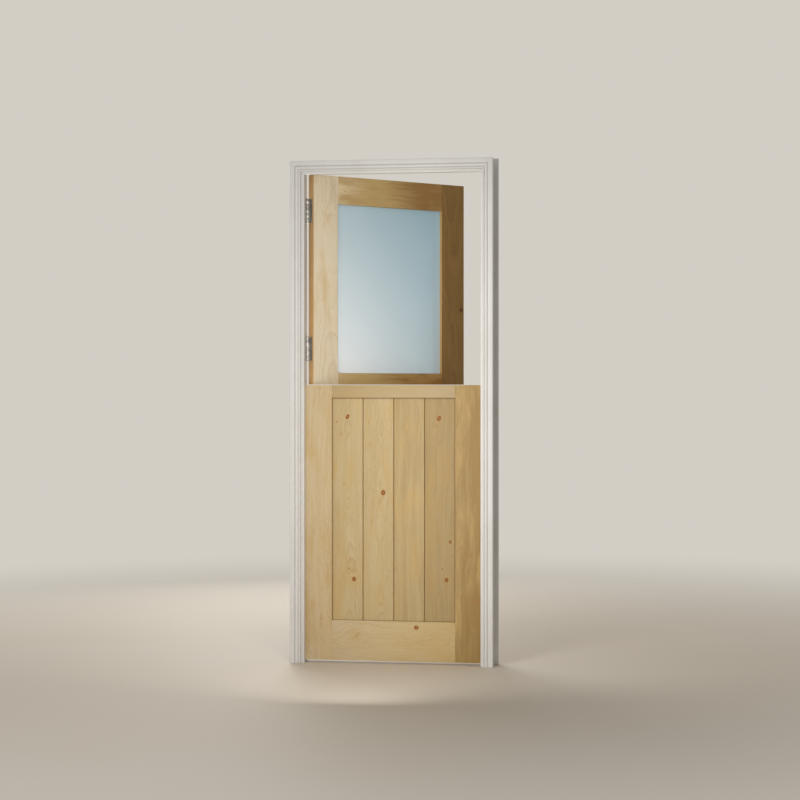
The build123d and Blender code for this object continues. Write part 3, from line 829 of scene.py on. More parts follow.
    def growth_lines(self, figure: Figure, bent: Socket) -> Socket:
        """Draws the rings: distance from the pith over the ring's width, as a lopsided wave.

        Args:
            figure: The timber's layers.
            bent: Bent place across the grain.

        Returns:
            Share of late wood.
        """
        shader = figure.shader
        beside, behind = self.pith
        swell = replace(figure, through=0.0).effect(SWELL, 0.0)
        sideways = shader.minus(bent, beside + self.middle_across())
        deep = shader.minus(shader.plus(figure.through, swell), behind)
        squares = shader.plus(shader.times(sideways, sideways), shader.times(deep, deep))
        rings = shader.math("DIVIDE", shader.math("SQRT", squares), self.ring_width)
        phase = shader.math("FRACT", rings)
        rise = shader.math("POWER", phase, self.ring_rise)
        return shader.times(rise, shader.smooth(phase, self.ring_drop, 1.0, 1, 0))

    def knot_marks(self, shader: Shader, across: Socket, along: Socket) -> KnotMarks:
        """Lays the knots into the board.

        Near a knot the place across the grain is drawn towards the knot's own, by a share that falls
        off as a bell on an ellipse long with the grain, so the lines bow round it.

        Args:
            shader: The material's nodes.
            across: Place across the grain.
            along: Place along the grain.

        Returns:
            What the knots do.
        """
        marks = KnotMarks(across)
        for knot in self.knots:
            own_across, own_along = self.by_grain(knot.along_leaf, knot.height)
            beside = shader.minus(across, own_across)
            beyond = shader.times(shader.minus(along, own_along), knot.roundness)
            beyond = shader.math("MULTIPLY_ADD", beside, knot.tilt, beyond)
            reach = shader.plus(
                *(
                    shader.math("POWER", shader.math("DIVIDE", offset, size * knot.radius), 2.0)
                    for offset, size in zip((beside, beyond), knot.bow)
                )
            )
            bell = shader.math("EXPONENT", shader.times(reach, -1.0))
            drawn = shader.times(beside, shader.times(bell, -knot.pull))
            squares = shader.plus(shader.math("POWER", beside, 2.0), shader.math("POWER", beyond, 2.0))
            ratio = shader.math("DIVIDE", shader.math("SQRT", squares), knot.radius)
            heart = shader.smooth(ratio, 0.9, 1.15, knot.depth, 0)
            rim = shader.smooth(shader.apart(ratio, knot.ring), 0.1, 0.6, 0.92 * knot.depth, 0)
            halo = shader.math("EXPONENT", shader.times(shader.times(ratio, ratio), -0.3))
            marks = KnotMarks(
                shader.plus(marks.pushed, drawn),
                shader.larger(marks.heart, heart),
                shader.larger(marks.rim, rim),
                shader.larger(marks.stain, halo),
            )
        return marks

    def paint_recess_shade_and_arris_light(
        self, shader: Shader, body: Socket, leafwise: Socket, through: Socket, height: Socket
    ) -> Socket:
        """Paints shade into the joints and corners, and a highlight on the arrises round the opening.

        Depth is measured from the nearer face of the leaf. A joint's floor darkens with depth, and
        so does a corner, by a share that falls off with distance from the opening's edge.

        Args:
            shader: The material's nodes.
            body: The wood's colour.
            leafwise: Place along the leaf.
            through: Place through the leaf.
            height: Height above the floor.

        Returns:
            The colour with its painted shade and highlight.
        """
        leaf = self.place
        below = shader.times(shader.outside(through, leaf.front_face, leaf.back_face), -1.0)
        beside = shader.outside(leafwise, leaf.hinge_sight, leaf.lock_sight)
        beyond = shader.outside(height, leaf.sill, leaf.head)
        nearest = shader.math("ABSOLUTE", shader.larger(beside, beyond))
        # Painted shade round the panel's edges, in a wider band along the lock side.
        corner = shader.larger(
            shader.smooth(nearest, 1.0 * MM, 4.0 * MM, 1, 0),
            shader.smooth(shader.apart(leafwise, leaf.lock_sight), 3.5 * MM, 7.0 * MM, 1, 0),
        )
        corner = shader.times(corner, shader.smooth(below, 3 * MM, 9 * MM, 0, 0.5))
        # Painted shade: a joint's floor darkens with its depth.
        joint = shader.smooth(below, 11.2 * MM, 13.4 * MM, 0, 0.6)
        body = shader.blend(shader.larger(corner, joint), body, self.recess_shade)
        # Painted highlight: the arrises round the opening are paled.
        arris_highlight = shader.times(
            shader.smooth(nearest, 0.8 * MM, 2.6 * MM, 0.6, 0),
            shader.smooth(below, 0.2 * MM, 1.5 * MM, 1, 0),
        )
        return shader.blend(arris_highlight, body, self.pale)

    def paint_edge_shading(self, shader: Shader, body: Socket, leafwise: Socket, through: Socket) -> Socket:
        """Paints light and shade onto one upright edge of a stile, up to the arrises of the leaf's two
        faces.

        Args:
            shader: The material's nodes.
            body: The wood's colour.
            leafwise: Place along the leaf.
            through: Place through the leaf.

        Returns:
            The colour with that edge's painted light and shade.
        """
        outside = shader.outside(through, self.place.front_face, self.place.back_face)
        # Painted light and shade along the one edge.
        share = shader.times(
            shader.smooth(shader.apart(leafwise, self.lip_along), 0.4 * MM, 1.4 * MM, 0.8, 0),
            shader.smooth(outside, -2.0 * MM, -0.3 * MM, 1, 0),
        )
        return shader.blend(share, body, self.edge_shading)


@dataclass(frozen=True)
class PaintFinish:
    """White satin paint laid on with a brush.

    Attributes:
        name: The material's name.
        upright: Whether the brush ran upright.
        architrave: How far an architrave's face stands out of the wall.
        paint: Its colour.
        thin: Its colour where the coat is thin.
        quirk_shade: Colour of the painted shade in an architrave's quirks.
    """

    name: str
    upright: bool
    architrave: float = 18 * MM
    paint: Colour = srgb(221, 219, 214)
    thin: Colour = srgb(215, 212, 205)
    quirk_shade: Colour = srgb(168, 159, 146)

    def material(self) -> bpy.types.Material:
        """Builds the paint: faint brush lines, thinner places, and painted shade in an architrave's
        quirks.

        A quirk is told by its depth below the architrave's face.

        Returns:
            The material.
        """
        shader = Shader(self.name)
        x, y, z = shader.axes()
        along, across = (z, x) if self.upright else (x, z)
        strokes = shader.drawn_out((across, y, along), (900, 900, 9), 3, 0.6)
        cover = shader.noise(shader.place(), 5, 3, 0.6)
        outside = shader.outside(y, -self.architrave, OPENING.depth + self.architrave)
        # Painted shade on the floors of the quirks.
        quirk = shader.times(
            shader.smooth(outside, -3.2 * MM, -1.6 * MM, 0.42, 0),
            shader.smooth(outside, -4.6 * MM, -3.8 * MM),
        )
        coat = shader.blend(shader.smooth(cover, 0.4, 0.75), self.paint, self.thin)
        shader.set(
            Base_Color=shader.blend(quirk, coat, self.quirk_shade),
            Roughness=shader.smooth(strokes, 0.25, 0.75, 0.36, 0.46),
        )
        shader.bump(strokes, 0.05 * MM, 0.15)
        return shader.material


@dataclass(frozen=True)
class SteelFinish:
    """Steel with fine brushed lines and slight tarnish.

    Attributes:
        name: The material's name.
        bright: Colour of the clean metal.
        dull: Colour of the tarnish.
        rough: Roughness of the clean metal.
    """

    name: str
    bright: Colour = srgb(198, 196, 192)
    dull: Colour = srgb(160, 156, 150)
    rough: float = 0.28

    def material(self) -> bpy.types.Material:
        """Builds the steel; the brushed lines run level.

        Returns:
            The material.
        """
        shader = Shader(self.name)
        lines = shader.drawn_out(shader.axes(), (260, 260, 4200), 2, 0.5)
        tarnish = shader.noise(shader.place(), 70, 4, 0.65)
        polish = shader.smooth(lines, 0.3, 0.7, self.rough, self.rough + 0.1)
        shader.set(
            Metallic=1.0,
            Base_Color=shader.blend(shader.smooth(tarnish, 0.42, 0.7), self.bright, self.dull),
            Roughness=shader.plus(polish, shader.smooth(tarnish, 0.4, 0.7, 0.0, 0.12)),
        )
        shader.bump(lines, 0.02 * MM, 0.25)
        return shader.material


@dataclass(frozen=True)
class ObscureGlassFinish:
    """Satin glass: light passes, but shapes behind it don't.

    Attributes:
        name: The material's name.
        place: The leaf that it is set in.
        cool: Its pale blue towards the lock side and the head, deepened as painted light from behind.
        light: Its colour towards the hinge side and the sill, a painted glow.
        edge: Its colour along its hinge-side edge, a painted reflection.
    """

    name: str
    place: LeafPlace = UPPER
    cool: Colour = srgb(173, 208, 222)
    light: Colour = srgb(243, 240, 240)
    edge: Colour = srgb(196, 216, 226)

    def material(self) -> bpy.types.Material:
        """Builds the glass, with its painted glow, light and reflection, and a faint grain that
        scatters the light.

        Returns:
            The material.
        """
        shader = Shader(self.name)
        leaf = self.place
        leafwise, _, height = shader.leaf_axes(leaf)
        along, up = (
            shader.math("DIVIDE", shader.minus(place, low), high - low)
            for place, low, high in (
                (leafwise, leaf.hinge_sight, leaf.lock_sight),
                (height, leaf.sill, leaf.head),
            )
        )
        # Painted light: the glass glows pale towards the hinge side and sill and turns blue towards the
        # lock side and head.
        level = shader.math("MULTIPLY_ADD", along, 0.5, 0.1)
        level = shader.plus(level, shader.times(shader.times(along, up), -0.2))
        share = shader.math("MULTIPLY_ADD", up, 0.53, level, clamp=True)
        tint = shader.blend(share, self.light, self.cool)
        # Painted reflection: a pale blue band along the hinge-side edge.
        tint = shader.blend(shader.smooth(along, 0.0, 0.035, 0.5, 0.0), tint, self.edge)
        grain = shader.noise(shader.place(), 900, 3, 0.6)
        shader.set(
            Base_Color=tint,
            Transmission_Weight=shader.smooth(along, 0.9, 1.0, 0.35, 0.0),
            Roughness=shader.smooth(grain, 0.3, 0.7, 0.4, 0.55),
            IOR=1.5,
        )
        shader.bump(grain, 0.03 * MM, 0.25)
        return shader.material


@dataclass(frozen=True)
class ClearGlassFinish:
    """Clear float glass.

    Attributes:
        name: The material's name.
        body: Its faint green.
    """

    name: str = "clear_glass"
    body: Colour = srgb(232, 242, 240)

    def material(self) -> bpy.types.Material:
        """Builds the glass; its gloss varies a little, as wiped glass does.

        Returns:
            The material.
        """
        shader = Shader(self.name)
        smears = shader.noise(shader.place(), 14, 4, 0.6)
        shader.set(
            Base_Color=(*self.body, 1),
            Transmission_Weight=1.0,
            Roughness=shader.smooth(smears, 0.45, 0.75, 0.0, 0.06),
            IOR=1.5,
        )
        return shader.material


# Pieces


def dress(obj: bpy.types.Object, material: bpy.types.Material) -> None:
    """Gives a piece one material for all its faces."""
    obj.data.materials.clear()
    obj.data.materials.append(material)


@dataclass
class Finishes:
    """The finishes that more than one piece wears.

    Attributes:
        upright_paint: White paint brushed upright, for legs.
        level_paint: White paint brushed level, for heads.
        hinge_steel: The hinges' steel.
        bolt_steel: The bolts' duller steel.
        screw_steel: The screws' brighter steel.
    """

    upright_paint: bpy.types.Material = field(init=False)
    level_paint: bpy.types.Material = field(init=False)
    hinge_steel: bpy.types.Material = field(init=False)
    bolt_steel: bpy.types.Material = field(init=False)
    screw_steel: bpy.types.Material = field(init=False)

    def __post_init__(self) -> None:
        """Mixes every shared finish once."""
        self.upright_paint = PaintFinish("white_paint_upright", True).material()
        self.level_paint = PaintFinish("white_paint_level", False).material()
        self.hinge_steel = SteelFinish("hinge_steel").material()
        bolt_steel = SteelFinish("bolt_steel", srgb(188, 187, 184), srgb(150, 147, 142), 0.32)
        self.bolt_steel = bolt_steel.material()
        screw_steel = SteelFinish("screw_steel", srgb(206, 203, 196), srgb(158, 152, 142), 0.24)
        self.screw_steel = screw_steel.material()


def take_place(
    obj: bpy.types.Object, body: str, slot: str, material: bpy.types.Material, *nodes: str
) -> None:
    """Dresses a new piece, hangs it on its body and lets it stand for its solids.

    Args:
        obj: The piece.
        body: The body that carries it.
        slot: The record's material slot, which is not used.
        material: Its finish.
        *nodes: The solids' nodes.
    """
    dress(obj, material)
    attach(obj, body)
    if nodes:
        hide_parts(*nodes)
    LOG.info("%s stands for %s on %s", obj.name, ", ".join(nodes) or "nothing", body)


@dataclass
class Frame:
    """The painted lining with its stops and architraves.

    Attributes:
        finishes: The shared finishes.
        front_margin: Lining left showing inside the near architraves.
        back_margin: Lining left showing inside the far architraves.
        easing: How far the lining's arrises are rounded.
        let_in_easing: How far those of the architrave let in for the strike are.
        width: Width of an architrave.
        thickness: Thickness of an architrave at its thicker edge.
        stop_thickness: How far a stop stands out of the lining.
        stop_depth: Places of a stop's near and far edge from the wall's near face.
        stop_rounding: Radius of a stop's arrises.
        stop_corner: Radius of its corners against the lining.
        crown_points: Number of points along the architrave's bead.
    """

    finishes: Finishes
    front_margin: float = 3 * MM
    back_margin: float = 8 * MM
    easing: float = 1.0 * MM
    let_in_easing: float = 0.4 * MM
    width: float = 44 * MM
    thickness: float = 18 * MM
    stop_thickness: float = 8 * MM
    stop_depth: tuple[float, float] = (2 * MM, 27 * MM)
    stop_rounding: float = 1.5 * MM
    stop_corner: float = 0.1 * MM
    crown_points: int = 25

    def section(self) -> Array:
        """The architrave's section, softened by its coats of paint.

        The bead is part of a circle through the two quirks' floors and its own crown; every other
        corner is rounded by its own radius.

        Returns:
            Distance outside the opening and distance out of the wall, in two columns.
        """
        width, face = self.width / MM, self.thickness / MM
        outer_flat, quirk, floor = 19.0, 2.6, face - 3.5
        bead, rise, inner_face = 13.0, 3.5, face - 2.0
        start = outer_flat + quirk
        radius = (bead**2 / 4 + rise**2) / (2 * rise)
        spread = math.asin(bead / 2 / radius)
        swing = np.linspace(-spread, spread, self.crown_points)
        crown = np.column_stack(
            (start + bead / 2 + radius * np.sin(swing), floor + rise - radius * (1 - np.cos(swing)))
        )
        near = rounded_outline(
            [
                (start, floor, 0.25),
                (outer_flat, floor, 0.5),
                (outer_flat, face, 0.9),
                (0, face, 1.5),
                (0, 0, 0.2),
                (width, 0, 0.2),
                (width, inner_face, 1.5),
                (start + bead + quirk, inner_face, 0.7),
                (start + bead + quirk, floor, 0.5),
                (start + bead, floor, 0.25),
            ]
        )
        outline = np.vstack((near[5:-5], crown))
        return np.column_stack((width - outline[:, 0], outline[:, 1])) * MM

    def paint(self, piece: bpy.types.Object, node: str) -> None:
        """Paints a piece, with level strokes on a head, and lets it stand for its solid."""
        paint = self.finishes.level_paint if "head" in node else self.finishes.upright_paint
        take_place(piece, "frame", "white_paint", paint, node)

    def architraves(self, near: bool) -> None:
        """Makes the three architraves of one face, except the one that is let in for the strike.

        Args:
            near: Whether they are on the viewer's side.
        """
        name, margin = ("front", self.front_margin) if near else ("back", self.back_margin)
        rectangle = MitredFrame(
            -OPENING.half_width - margin, OPENING.half_width + margin, None, OPENING.height + margin
        )
        section = self.section()
        section[:, 1] = -section[:, 1] if near else OPENING.depth + section[:, 1]
        for side, part in ((Side.HINGE, "hinge_leg"), (Side.LOCK, "lock_leg"), (Side.HEAD, "head")):
            node = f"{name}_architrave_{part}"
            if node == "back_architrave_lock_leg":
                piece = eased_copy(node, f"{node}_painted", self.let_in_easing)
            else:
                piece = swept_mesh(f"{node}_painted", rectangle.piece(side, section))
            self.paint(piece, node)

    def stops(self) -> None:
        """Makes the three planted stops, their arrises rubbed round."""
        near, far = self.stop_depth
        section = rounded_outline(
            [
                (0, near, self.stop_corner),
                (-self.stop_thickness, near, self.stop_rounding),
                (-self.stop_thickness, far, self.stop_rounding),
                (0, far, self.stop_corner),
            ]
        )
        rectangle = MitredFrame(-OPENING.half_width, OPENING.half_width, None, OPENING.height)
        under_head = OPENING.height - self.stop_thickness
        for side, node in (
            (Side.HINGE, "hinge_leg_stop"),
            (Side.LOCK, "lock_leg_stop"),
            (Side.HEAD, "head_stop"),
        ):
            places = rectangle.piece(side, section)
            if side is Side.HEAD:
                places[..., 0] = np.sign(places[..., 0]) * OPENING.half_width
            else:
                places[..., 2] = np.minimum(places[..., 2], under_head)
                places[-1, :, 2] = under_head
            self.paint(swept_mesh(f"{node}_painted", places), node)

    def lining(self) -> None:
        """Eases the lining's arrises and paints it."""
        for node in ("lining_hinge_leg", "lining_lock_leg", "lining_head"):
            self.paint(eased_copy(node, f"{node}_painted", self.easing), node)

    def build(self) -> None:
        """Makes every painted piece."""
        self.lining()
        self.stops()
        self.architraves(near=True)
        self.architraves(near=False)


@dataclass
class LeafJoinery:
    """The two stiles and two rails of a leaf.

    Attributes:
        name: The leaf's body and the start of its nodes' names.
        pines: The finish of each timber by its name.
        easing: How far a timber's arrises are rounded.
    """

    name: str
    pines: dict[str, PineFinish]
    easing: float = 0.5 * MM

    def build(self) -> None:
        """Rounds each timber's arrises and gives it its own figure."""
        for timber, pine in self.pines.items():
            node = f"{self.name}_{timber}"
            piece = eased_copy(node, f"{node}_planed", self.easing)
            take_place(piece, self.name, "pine", pine.material(), node)


@dataclass
class BoardedPanel:
    """The lower leaf's panel of upright boards, V-jointed and tongued.

    Attributes:
        pines: The finish of each board, from the hinge side.
        thickness: Thickness of a board.
        joint_bevel: Size of the bevels that make a V at each joint.
        half_gap: Half of the gap in a joint.
        in_frame: How far the panel goes into its frame on every side.
        tongue: Reach and thickness of a tongue.
        groove: Depth and width of a groove.
        rounding: Radius of the bevels' arrises on the faces.
        small: Radius of the arrises out of sight.
    """

    pines: tuple[PineFinish, ...]
    thickness: float = 22 * MM
    joint_bevel: float = 3 * MM
    half_gap: float = 0.1 * MM
    in_frame: float = 9 * MM
    tongue: tuple[float, float] = (8 * MM, 6 * MM)
    groove: tuple[float, float] = (9 * MM, 6.4 * MM)
    rounding: float = 0.7 * MM
    small: float = 0.1 * MM

    def joint(
        self, edge: float, inward: int, shape: tuple[float, float], tip: float
    ) -> list[tuple[float, float, float]]:
        """Lists the corners of a jointed edge, from the near face to the far one.

        Args:
            edge: The edge's place along the leaf.
            inward: The way from the edge into the board: 1 towards the lock side, or -1.
            shape: Reach towards the lock side and thickness of its tongue or groove.
            tip: Radius at the tongue's tip or the groove's floor.

        Returns:
            Place along the leaf, place through it and radius, by corner.
        """
        middle = (LOWER.front_face + LOWER.back_face) / 2
        reach, thick = shape
        near, far = (
            [
                (edge + inward * self.joint_bevel, middle + way * self.thickness / 2, self.rounding),
                (edge, middle + way * (self.thickness / 2 - self.joint_bevel), 2 * self.small),
                (edge, middle + way * thick / 2, self.small),
                (edge + reach, middle + way * thick / 2, tip),
            ]
            for way in (-1, 1)
        )
        return near + far[::-1]

    def section(self, start: float, end: float, first: bool, last: bool) -> Array:
        """One board's section: bevelled at its joints, with its tongue and groove.

        Args:
            start: Its hinge-side edge along the leaf.
            end: Its lock-side edge along the leaf.
            first: Whether it is the board in the hinge stile.
            last: Whether it is the board in the lock stile.

        Returns:
            Places along the leaf and through it, in two columns.
        """
        middle = (LOWER.front_face + LOWER.back_face) / 2
        near, far = middle - self.thickness / 2, middle + self.thickness / 2
        if last:
            corners = [(end, near, self.small), (end, far, self.small)]
        else:
            corners = self.joint(end, -1, self.tongue, 4 * self.small)
        if first:
            corners += [(start, far, self.small), (start, near, self.small)]
        else:
            corners += self.joint(start, 1, self.groove, self.small)[::-1]
        return rounded_outline(corners, 3)

    def build(self) -> None:
        """Carries each board's section from foot to head."""
        count = len(self.pines)
        pitch = (LOWER.lock_sight - LOWER.hinge_sight) / count
        heights = np.array((LOWER.sill - self.in_frame, LOWER.head + self.in_frame))
        for number, pine in enumerate(self.pines):
            first, last = number == 0, number == count - 1
            edge = LOWER.hinge_sight + number * pitch
            start = edge - self.in_frame if first else edge + self.half_gap
            end = edge + pitch + (self.in_frame if last else -self.half_gap)
            section = self.section(start, end, first, last)
            places = np.empty((2, len(section), 3))
            places[..., :2] = section
            places[..., 2] = heights[:, None]
            node = f"lower_leaf_board_{number + 1}"
            piece = swept_mesh(f"{node}_planed", LOWER.set_out(places))
            take_place(piece, "lower_leaf", "pine", pine.material(), node)


@dataclass
class Glazing:
    """The top leaf's sealed unit and the beads that hold it.

    Attributes:
        bead_pines: The finish of each bead by its side.
        pane_thickness: Thickness of a pane.
        pane_gap: Distance between the two panes.
        pane_cover: How far the panes go past the opening's edges.
        pane_front: Place through the leaf of the front pane's near face.
        bead_reach: How far the beads go past the opening's edges.
        bead_bevel: Size of their bevel.
        bead_rounding: Radius of the bevel's arrises.
        bead_corner: Radius of their other corners.
        arris: Size of the ground arris round a pane's faces.
        pane_corner: Radius of a pane's corners.
    """

    bead_pines: dict[Side, PineFinish]
    pane_thickness: float = 4 * MM
    pane_gap: float = 6 * MM
    pane_cover: float = 9 * MM
    pane_front: float = -35 * MM
    bead_reach: float = 11.8 * MM
    bead_bevel: float = 5 * MM
    bead_rounding: float = 0.8 * MM
    bead_corner: float = 0.2 * MM
    arris: float = 0.5 * MM
    pane_corner: float = 0.5 * MM

    def pane(
        self, node: str, worked: str, front: float, slot: str, material: bpy.types.Material
    ) -> None:
        """Makes one pane, its edges ground: the outline shrinks by the arris at both faces.

        Args:
            node: The solid that it stands for.
            worked: How its glass is worked, which ends the piece's name.
            front: Place of its near face through the leaf.
            slot: The record's material slot.
            material: Its finish.
        """
        left, right = UPPER.hinge_sight - self.pane_cover, UPPER.lock_sight + self.pane_cover
        low, high = UPPER.sill - self.pane_cover, UPPER.head + self.pane_cover
        layers = (
            (0, self.arris),
            (self.arris, 0),
            (self.pane_thickness - self.arris, 0),
            (self.pane_thickness, self.arris),
        )
        outlines = []
        for depth, inset in layers:
            corners = (
                (left + inset, low + inset),
                (right - inset, low + inset),
                (right - inset, high - inset),
                (left + inset, high - inset),
            )
            flat = rounded_outline([(*corner, self.pane_corner) for corner in corners])
            outlines.append(np.insert(flat, 1, front + depth, axis=1))
        piece = swept_mesh(f"{node}_{worked}", UPPER.set_out(np.array(outlines)))
        take_place(piece, "top_leaf", slot, material, node)

    def beads(self) -> None:
        """Makes the four mitred beads."""
        back, pane_back = UPPER.back_face, self.pane_front + 2 * self.pane_thickness + self.pane_gap
        section = rounded_outline(
            [
                (0, pane_back, self.bead_corner),
                (self.bead_reach, pane_back, self.bead_corner),
                (self.bead_reach, back, self.bead_corner),
                (self.bead_bevel, back, self.bead_rounding),
                (0, back - self.bead_bevel, self.bead_rounding),
            ]
        )
        rectangle = MitredFrame(UPPER.hinge_sight, UPPER.lock_sight, UPPER.sill, UPPER.head)
        for side, pine in self.bead_pines.items():
            node = f"glazing_bead_{'top' if side is Side.HEAD else side.name.lower()}"
            piece = swept_mesh(f"{node}_planed", UPPER.set_out(rectangle.piece(side, section)))
            take_place(piece, "top_leaf", "pine", pine.material(), node)

    def build(self) -> None:
        """Makes the panes and beads, and dresses the spacer."""
        obscure = ObscureGlassFinish("obscure_glass").material()
        clear = ClearGlassFinish().material()
        back = self.pane_front + self.pane_thickness + self.pane_gap
        self.pane("obscure_front_pane", "etched", self.pane_front, "obscure_glass", obscure)
        self.pane("clear_back_pane", "polished", back, "clear_glass", clear)
        self.beads()
        spacer = SteelFinish("spacer_bar", srgb(176, 178, 180), srgb(150, 152, 154), 0.42)
        dress(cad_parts["pane_spacer"], spacer.material())


@dataclass
class Ironmongery:
    """Hinges, bolts and screws.

    Attributes:
        finishes: The shared finishes.
        easing: How far the plates' and flaps' arrises are rounded.
        pin_radius: Radius of a hinge's pin.
        pin_neck: Distance from a head to the shaft's nearest ring of points.
        tip_radius: Radius of the flat that is left on a head's crown.
        head_radius: Radius of a pin's head.
        head_height: Height of a pin's head.
        hinge_height: Height of a hinge.
        hinge_end: Distance from a leaf's end to the middle of its hinge.
        round_steps: Number of sides of a turned piece.
        dome_points: Number of points along the crown of a pin's head.
    """

    finishes: Finishes
    easing: float = 0.25 * MM
    pin_radius: float = 3 * MM
    pin_neck: float = 1 * MM
    tip_radius: float = 0.05 * MM
    head_radius: float = 4.6 * MM
    head_height: float = 2.5 * MM
    hinge_height: float = 100 * MM
    hinge_end: float = 150 * MM
    round_steps: int = 48
    dome_points: int = 9

    def turned(self, name: str, profile: Array, centre: tuple[float, float]) -> bpy.types.Object:
        """Turns a profile about an upright line: radius times cosine and sine of an even angle.

        Args:
            name: Name of the new object.
            profile: Radius and height, in two columns, from one end to the other.
            centre: Where the line stands.

        Returns:
            The turned piece.
        """
        angle = np.linspace(0, 2 * math.pi, self.round_steps, endpoint=False)
        radius, height = profile[:, :1], profile[:, 1:]
        places = np.stack(
            (
                centre[0] + radius * np.cos(angle),
                centre[1] + radius * np.sin(angle),
                np.broadcast_to(height, (len(profile), self.round_steps)),
            ),
            axis=-1,
        )
        return swept_mesh(name, places)

    def pins(self) -> None:
        """Makes each hinge's pin, with a domed button at both ends."""
        swing = np.linspace(0, math.pi / 2, self.dome_points)
        half, dome = self.hinge_height / 2, self.head_height / 2
        crown = np.column_stack(
            (
                self.head_radius - dome + dome * np.cos(swing),
                half + self.head_height - dome + dome * np.sin(swing),
            )
        )
        shoulder = [
            (self.pin_radius, half - self.pin_neck),
            (self.pin_radius, half),
            (self.head_radius, half),
        ]
        end = np.vstack((shoulder, crown, (self.tip_radius, half + self.head_height)))
        both_ends = np.vstack((end[::-1] * (1, -1), end))
        for leaf, place in (("lower", LOWER), ("top", UPPER)):
            middles = (place.bottom + self.hinge_end, place.top - self.hinge_end)
            for number, middle in enumerate(middles, start=1):
                node = f"{leaf}_leaf_hinge_{number}_pin"
                profile = both_ends + (0, middle)
                piece = self.turned(f"{node}_turned", profile, (place.pin_x, place.pin_y))
                take_place(piece, "frame", "hinge_steel", self.finishes.hinge_steel, node)

    def plates(self) -> None:
        """Eases the flaps, plates and rods, and dresses them."""
        flaps = [
            (f"{leaf}_leaf_hinge_{number}_{part}", body)
            for leaf in ("lower", "top")
            for number in (1, 2)
            for part, body in (("frame_flap", "frame"), ("door_flap", f"{leaf}_leaf"))
        ]
        bolts = [
            ("link_bolt_plate", "top_leaf"),
            ("link_bolt_rod", "link_bolt"),
            ("link_bolt_keep", "lower_leaf"),
            ("frame_bolt_plate", "lower_leaf"),
            ("frame_bolt_rod", "frame_bolt"),
            ("strike_plate", "frame"),
        ]
        for slot, steel, pieces in (
            ("hinge_steel", self.finishes.hinge_steel, flaps),
            ("bolt_steel", self.finishes.bolt_steel, bolts),
        ):
            for node, body in pieces:
                piece = eased_copy(node, f"{node}_polished", self.easing)
                take_place(piece, body, slot, steel, node)

    def screws(self) -> None:
        """Dresses the screws, which keep their solids."""
        for node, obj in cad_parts.items():
            if node.endswith("_screws"):
                dress(obj, self.finishes.screw_steel)
                LOG.info("%s keeps its solid", node)

    def build(self) -> None:
        """Makes and dresses all the metal."""
        self.pins()
        self.plates()
        self.screws()


# Studio


@dataclass(frozen=True)
class Lamp:
    """A soft rectangular lamp.

    Attributes:
        name: Its name.
        place: Where it hangs.
        target: What it faces.
        size: Its width and height.
        power: Its power in watts.
        spread: Angle that its light fills.
        colour: Its light's colour.
    """

    name: str
    place: Point
    target: Point
    size: tuple[float, float]
    power: float
    spread: float = math.radians(150)
    colour: Colour = (1.0, 0.99, 0.98)

    def hang(self) -> None:
        """Hangs the lamp where it faces its target, unseen by the camera."""
        data = bpy.data.lights.new(self.name, "AREA")
        data.shape = "RECTANGLE"
        data.size, data.size_y = self.size
        data.energy = self.power
        data.spread = self.spread
        data.color = self.colour
        lamp = add_object(self.name, data)
        lamp.location = self.place
        lamp.visible_camera = False
        facing = Vector(self.target) - Vector(self.place)
        lamp.rotation_euler = facing.to_track_quat("-Z", "Y").to_euler()


@dataclass(frozen=True)
class Camera:
    """The camera, where the photograph was taken from.

    Attributes:
        place: Where it stands.
        turn: How far it is turned towards the hinge side, in radians.
        lens: Focal length in millimetres.
        sensor: Width of its sensor in millimetres.
        shift_x: Shift of its picture sideways, as a share of its width.
        shift_y: Shift of its picture upwards, as a share of its width.
        clip_end: How far it sees.
    """

    place: Point = (1.92, -7.57, 1.147)
    turn: float = math.radians(9.1)
    lens: float = 84.5
    sensor: float = 36
    shift_x: float = -0.2
    shift_y: float = -0.0153
    clip_end: float = 60

    def stand(self) -> None:
        """Stands the camera level and makes it the scene's."""
        data = bpy.data.cameras.new("camera")
        data.lens = self.lens
        data.sensor_width = self.sensor
        data.shift_x = self.shift_x
        data.shift_y = self.shift_y
        data.clip_end = self.clip_end
        camera = add_object("camera", data)
        camera.location = self.place
        camera.rotation_euler = (math.radians(90), 0, self.turn)
        bpy.context.scene.camera = camera


LAMPS = (
    Lamp("strip", (0.09, -1.05, 1.1), (0.05, 0, 1.1), (0.35, 1.9), 8.0),
    Lamp("key", (-1.7, -4.1, 1.8), (0, 0, 0.8), (1.8, 1.8), 14),
    Lamp("glow", (-1.45, 3.6, 1.3), (0, 0, 1.2), (1.6, 1.2), 22),
    Lamp("back", (-2.2, 2.9, 2.9), (0, 0, 1.0), (1.8, 1.8), 34),
)


